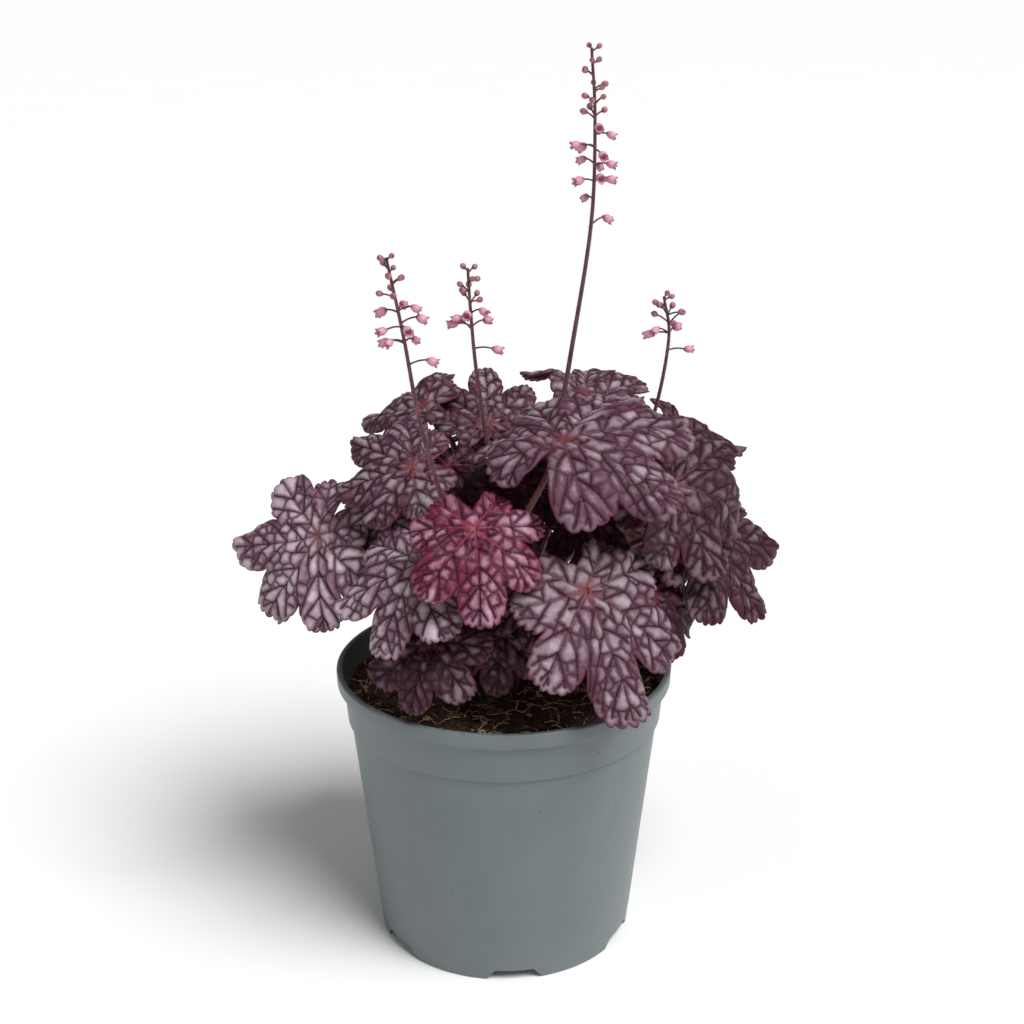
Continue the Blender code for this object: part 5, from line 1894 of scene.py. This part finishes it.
@dataclass
class Soil:
    """Potting soil: an uneven peat bed with crumbs, bark, fibres, curls and a few white grains on it.

    Args:
        materials: Peat, bark, fibre and white grain.
        radius: Radius of its top in millimetres.
        crumbs: How many crumbs lie on it.
        fibres: How many fibres.
        grains: How many white grains.
        curled_share: Share of the fibres that are curled.
        curl_thickness: How much tighter and thicker those are than the others.
    """

    materials: list[bpy.types.Material]
    radius: float = 80.4
    crumbs: int = 1900
    fibres: int = 420
    grains: int = 80
    curled_share: float = 0.16
    curl_thickness: float = 1.6

    @staticmethod
    def level(x: float, y: float) -> float:
        """Give the height of the bed: heaped about the crown, with lumps of about 8 mm and of 2 mm."""
        spot = Vector((x, y, 0))
        heap = 2.0 * math.exp(-(x * x + y * y) / 900)
        lumps = 1.5 * noise.noise(spot * 0.11) + 0.9 * noise.noise(spot * 0.42)
        return SOIL_TOP - 1.2 + heap + lumps

    def build(self) -> bpy.types.Object:
        """Build the bed and scatter what lies on it.

        Returns:
            The finished piece.
        """
        rng = random.Random(3)
        data = bmesh.new()
        self.add_bed(data)
        batch = bmesh.new()
        for index in range(self.crumbs):
            size = rng.uniform(1.4, 2.6) if index % 9 == 0 else rng.uniform(0.5, 1.5)
            self.add_crumb(batch, rng, size, 0 if index % 4 else 1)
            if index % BATCH == BATCH - 1:
                batch = flush(data, batch)
        for _ in range(self.grains):
            self.add_crumb(batch, rng, rng.uniform(0.35, 0.75), 3)
        flush(data, batch).free()
        straws = [self.fibre(rng) for _ in range(self.fibres)]
        join_mesh(data, tubes(straws, 0), 2)
        return finish_piece("potting_soil", data, self.materials)

    def add_bed(self, data: bmesh.types.BMesh) -> None:
        """Add the bed, down to the pot's floor."""
        top = [(x, SOIL_TOP) for x in np.linspace(0.6, self.radius, 66)]
        wall = [(77.9, SOIL_TOP - 12.8), (76.0, SOIL_TOP - 16.0), (63.7, 8.8)]
        spin_profile(data, top + wall, 200)
        for vert in data.verts:
            if vert.co.z > SOIL_TOP - 1:
                vert.co.z = self.level(vert.co.x, vert.co.y)

    def spot(self, rng: random.Random, spread: float = 0.985) -> tuple[float, float]:
        """Draw a place on the bed, evenly over its area."""
        away, turn = self.radius * spread * math.sqrt(rng.random()), rng.uniform(0, 2 * math.pi)
        return away * math.cos(turn), away * math.sin(turn)

    def add_crumb(self, data: bmesh.types.BMesh, rng: random.Random, size: float, slot: int) -> None:
        """Add one crumb, half sunk in the bed.

        Args:
            data: Mesh that it is added to.
            rng: Source of its shape.
            size: Its radius in millimetres.
            slot: Its material index.
        """
        x, y = self.spot(rng)
        fine = 2 if size > 1.6 else 1
        made = bmesh.ops.create_icosphere(data, subdivisions=fine, radius=size)["verts"]
        stretch = Matrix.Diagonal((rng.uniform(0.7, 1.4), rng.uniform(0.6, 1.1), rng.uniform(0.5, 0.9)))
        turned = Matrix.Rotation(rng.uniform(0, 6.3), 3, "Z") @ Matrix.Rotation(rng.uniform(0, 6.3), 3, "X")
        centre = Vector((x, y, self.level(x, y) + 0.25 * size))
        for vert in made:
            bump = 1 + 0.35 * noise.noise(vert.co / size * 1.4 + centre)
            vert.co = centre + turned @ stretch @ vert.co * bump
        for face in {face for vert in made for face in vert.link_faces}:
            face.material_index = slot

    def fibre(self, rng: random.Random) -> tuple[np.ndarray, np.ndarray]:
        """Draw a fibre that lies on the bed: nearly straight, or now and then curled into a ring.

        Args:
            rng: Source of its shape.

        Returns:
            Its points and radii, in millimetres.
        """
        x, y = self.spot(rng)
        curled = rng.random() < self.curled_share
        tight = self.curl_thickness if curled else 1
        length = rng.uniform(9, 15) if curled else rng.uniform(3, 15)
        heading, lift = rng.uniform(0, 6.3), rng.uniform(0, 0.5)
        turn = rng.uniform(0.42, 0.55) if curled else rng.uniform(-0.12, 0.12)
        count = 22 if curled else 8
        points = []
        for index in range(count):
            share = index / (count - 1)
            rise = 1.0 + lift * length * 0.35 * math.sin(math.pi * share)
            points.append((x, y, self.level(x, y) + rise))
            heading += turn * length / count * tight + rng.uniform(-0.12, 0.12)
            x, y = x + length / count * math.cos(heading), y + length / count * math.sin(heading)
            if math.hypot(x, y) > self.radius - 0.6:
                heading += math.pi / 2
                scale = (self.radius - 0.6) / math.hypot(x, y)
                x, y = x * scale, y * scale
        thick = rng.uniform(0.22, 0.5) * tight
        return np.array(points), np.linspace(thick, thick * 0.6, count)


@dataclass
class Studio:
    """Pale floor, soft studio lights and the camera at the photograph's place.

    Args:
        camera_away: Distance of the camera in front of the pot's axis, in metres.
        camera_height: Its height over the foot of the pot.
        pitch: How far it looks down, in degrees.
        yaw: How far it is turned to the right.
        roll: How far it is tilted clockwise.
        lens: Focal length on a 36 mm sensor, in millimetres.
        key: Side and height of the key light in degrees, and its strength.
        fill: The same for the fill light.
        softness: Angle that each light fills, in degrees.
        surround: Strength of the light from all round.
        floor_radius: Radius of the floor in metres.
    """

    camera_away: float = 0.751
    camera_height: float = 0.485
    pitch: float = 19.06
    yaw: float = 0.34
    roll: float = 0.19
    lens: float = 56.57
    key: tuple[float, float, float] = (46.0, 56.0, 3.1)
    fill: tuple[float, float, float] = (-50.0, 32.0, 0.1)
    softness: float = 34.0
    surround: float = 0.24
    floor_radius: float = 40.0

    def build(self) -> None:
        """Set up floor, lights, surroundings and camera."""
        self.add_floor()
        self.add_light("key_light", *self.key)
        self.add_light("fill_light", *self.fill)
        self.set_surroundings()
        self.add_camera()

    def add_floor(self) -> None:
        """Add a wide pale floor under the pot."""
        data = bmesh.new()
        bmesh.ops.create_circle(data, cap_ends=True, segments=96, radius=self.floor_radius)
        paint = Paint("matt_paper", roughness=0.9)
        paint.feed("Base Color", paint.mix(paint.noise(3.0, 2.0), "FBFBFA", "FDFDFD"))
        floor = add_object("studio_floor", mesh_of(data, "studio_floor"))
        floor.data.materials.append(paint.material)

    def add_light(self, name: str, side: float, height: float, strength: float) -> None:
        """Add a wide, soft and even light aimed at the plant.

        Args:
            name: Its name.
            side: Where it stands, in degrees to the right of the camera's side.
            height: Its height over the horizon in degrees.
            strength: Its strength in watts per square metre.
        """
        light = bpy.data.lights.new(name, "SUN")
        light.angle = math.radians(self.softness)
        light.energy = strength
        thing = add_object(name, light)
        side, height = math.radians(side), math.radians(height)
        level = math.cos(height)
        place = Vector((math.sin(side) * level, -math.cos(side) * level, math.sin(height)))
        thing.location = place * 3
        thing.rotation_euler = place.to_track_quat("Z", "Y").to_euler()

    def set_surroundings(self) -> None:
        """Light the scene evenly from a pale surrounding."""
        world = bpy.data.worlds.new("studio")
        world.use_nodes = True
        background = world.node_tree.nodes["Background"]
        background.inputs["Color"].default_value = linear("FBFBFC")
        background.inputs["Strength"].default_value = self.surround
        bpy.context.scene.world = world
        bpy.context.scene.view_settings.view_transform = "Standard"

    def add_camera(self) -> None:
        """Place the camera."""
        data = bpy.data.cameras.new("camera")
        data.lens = self.lens
        data.sensor_width = 36.0
        data.clip_start = 0.01
        camera = add_object("camera", data)
        camera.location = (0.0, -self.camera_away, self.camera_height)
        turn = Matrix.Rotation(-math.radians(self.yaw), 3, "Z")
        tilt = Matrix.Rotation(math.radians(90 - self.pitch), 3, "X")
        lean = Matrix.Rotation(-math.radians(self.roll), 3, "Z")
        camera.rotation_euler = (turn @ tilt @ lean).to_euler()
        bpy.context.scene.camera = camera


def main() -> None:
    """Build every piece in order."""
    logging.basicConfig(level=logging.INFO, format="%(message)s")
    layout = Layout()
    LOG.info("laid out %d blades", len(layout.blades))
    Pot(PotFinish().material()).build()
    Soil([
        SoilFinish("peat", "281A11", "6B5540", 0.0016).material(),
        SoilFinish("bark", "4A311E", "8A6847", 0.0022).material(),
        SoilFinish("coir_fibre", "C09A68", "EFD8B2", 0.0012).material(),
        SoilFinish("perlite", "B9B3A6", "E2DED5", 0.0008).material(),
    ]).build()
    stem = StalkFinish("flower_stem_skin", "6A3A42", "43222A").material()
    stalk = StalkFinish("leaf_stalk_skin", "855049", "4C222A").material()
    hair = HairFinish("stalk_hair", "C9A59C").material()
    finishes = {tone: finish.material(f"leaf_skin_{tone.value}") for tone, finish in LEAF_FINISHES.items()}
    leaves = LeafMaker(layout, finishes, UnderleafFinish().material(), stalk, hair)
    for index, blade in enumerate(layout.blades):
        leaves.build(blade, 300 + index)
    bell = PetalFinish("open_floret", "6A333F", "C97F9E", "DDA2BC", "9A5470").material()
    bud = PetalFinish("closed_floret", "5E3038", "9A5C6C", "B67A87", "7E4450").material()
    flowers = FlowerMaker(layout, [stem, hair, bell, bud])
    for name, scape in SCAPES.items():
        flowers.build(name, scape)
    Studio().build()
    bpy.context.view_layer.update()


if __name__ == "__main__":
    main()
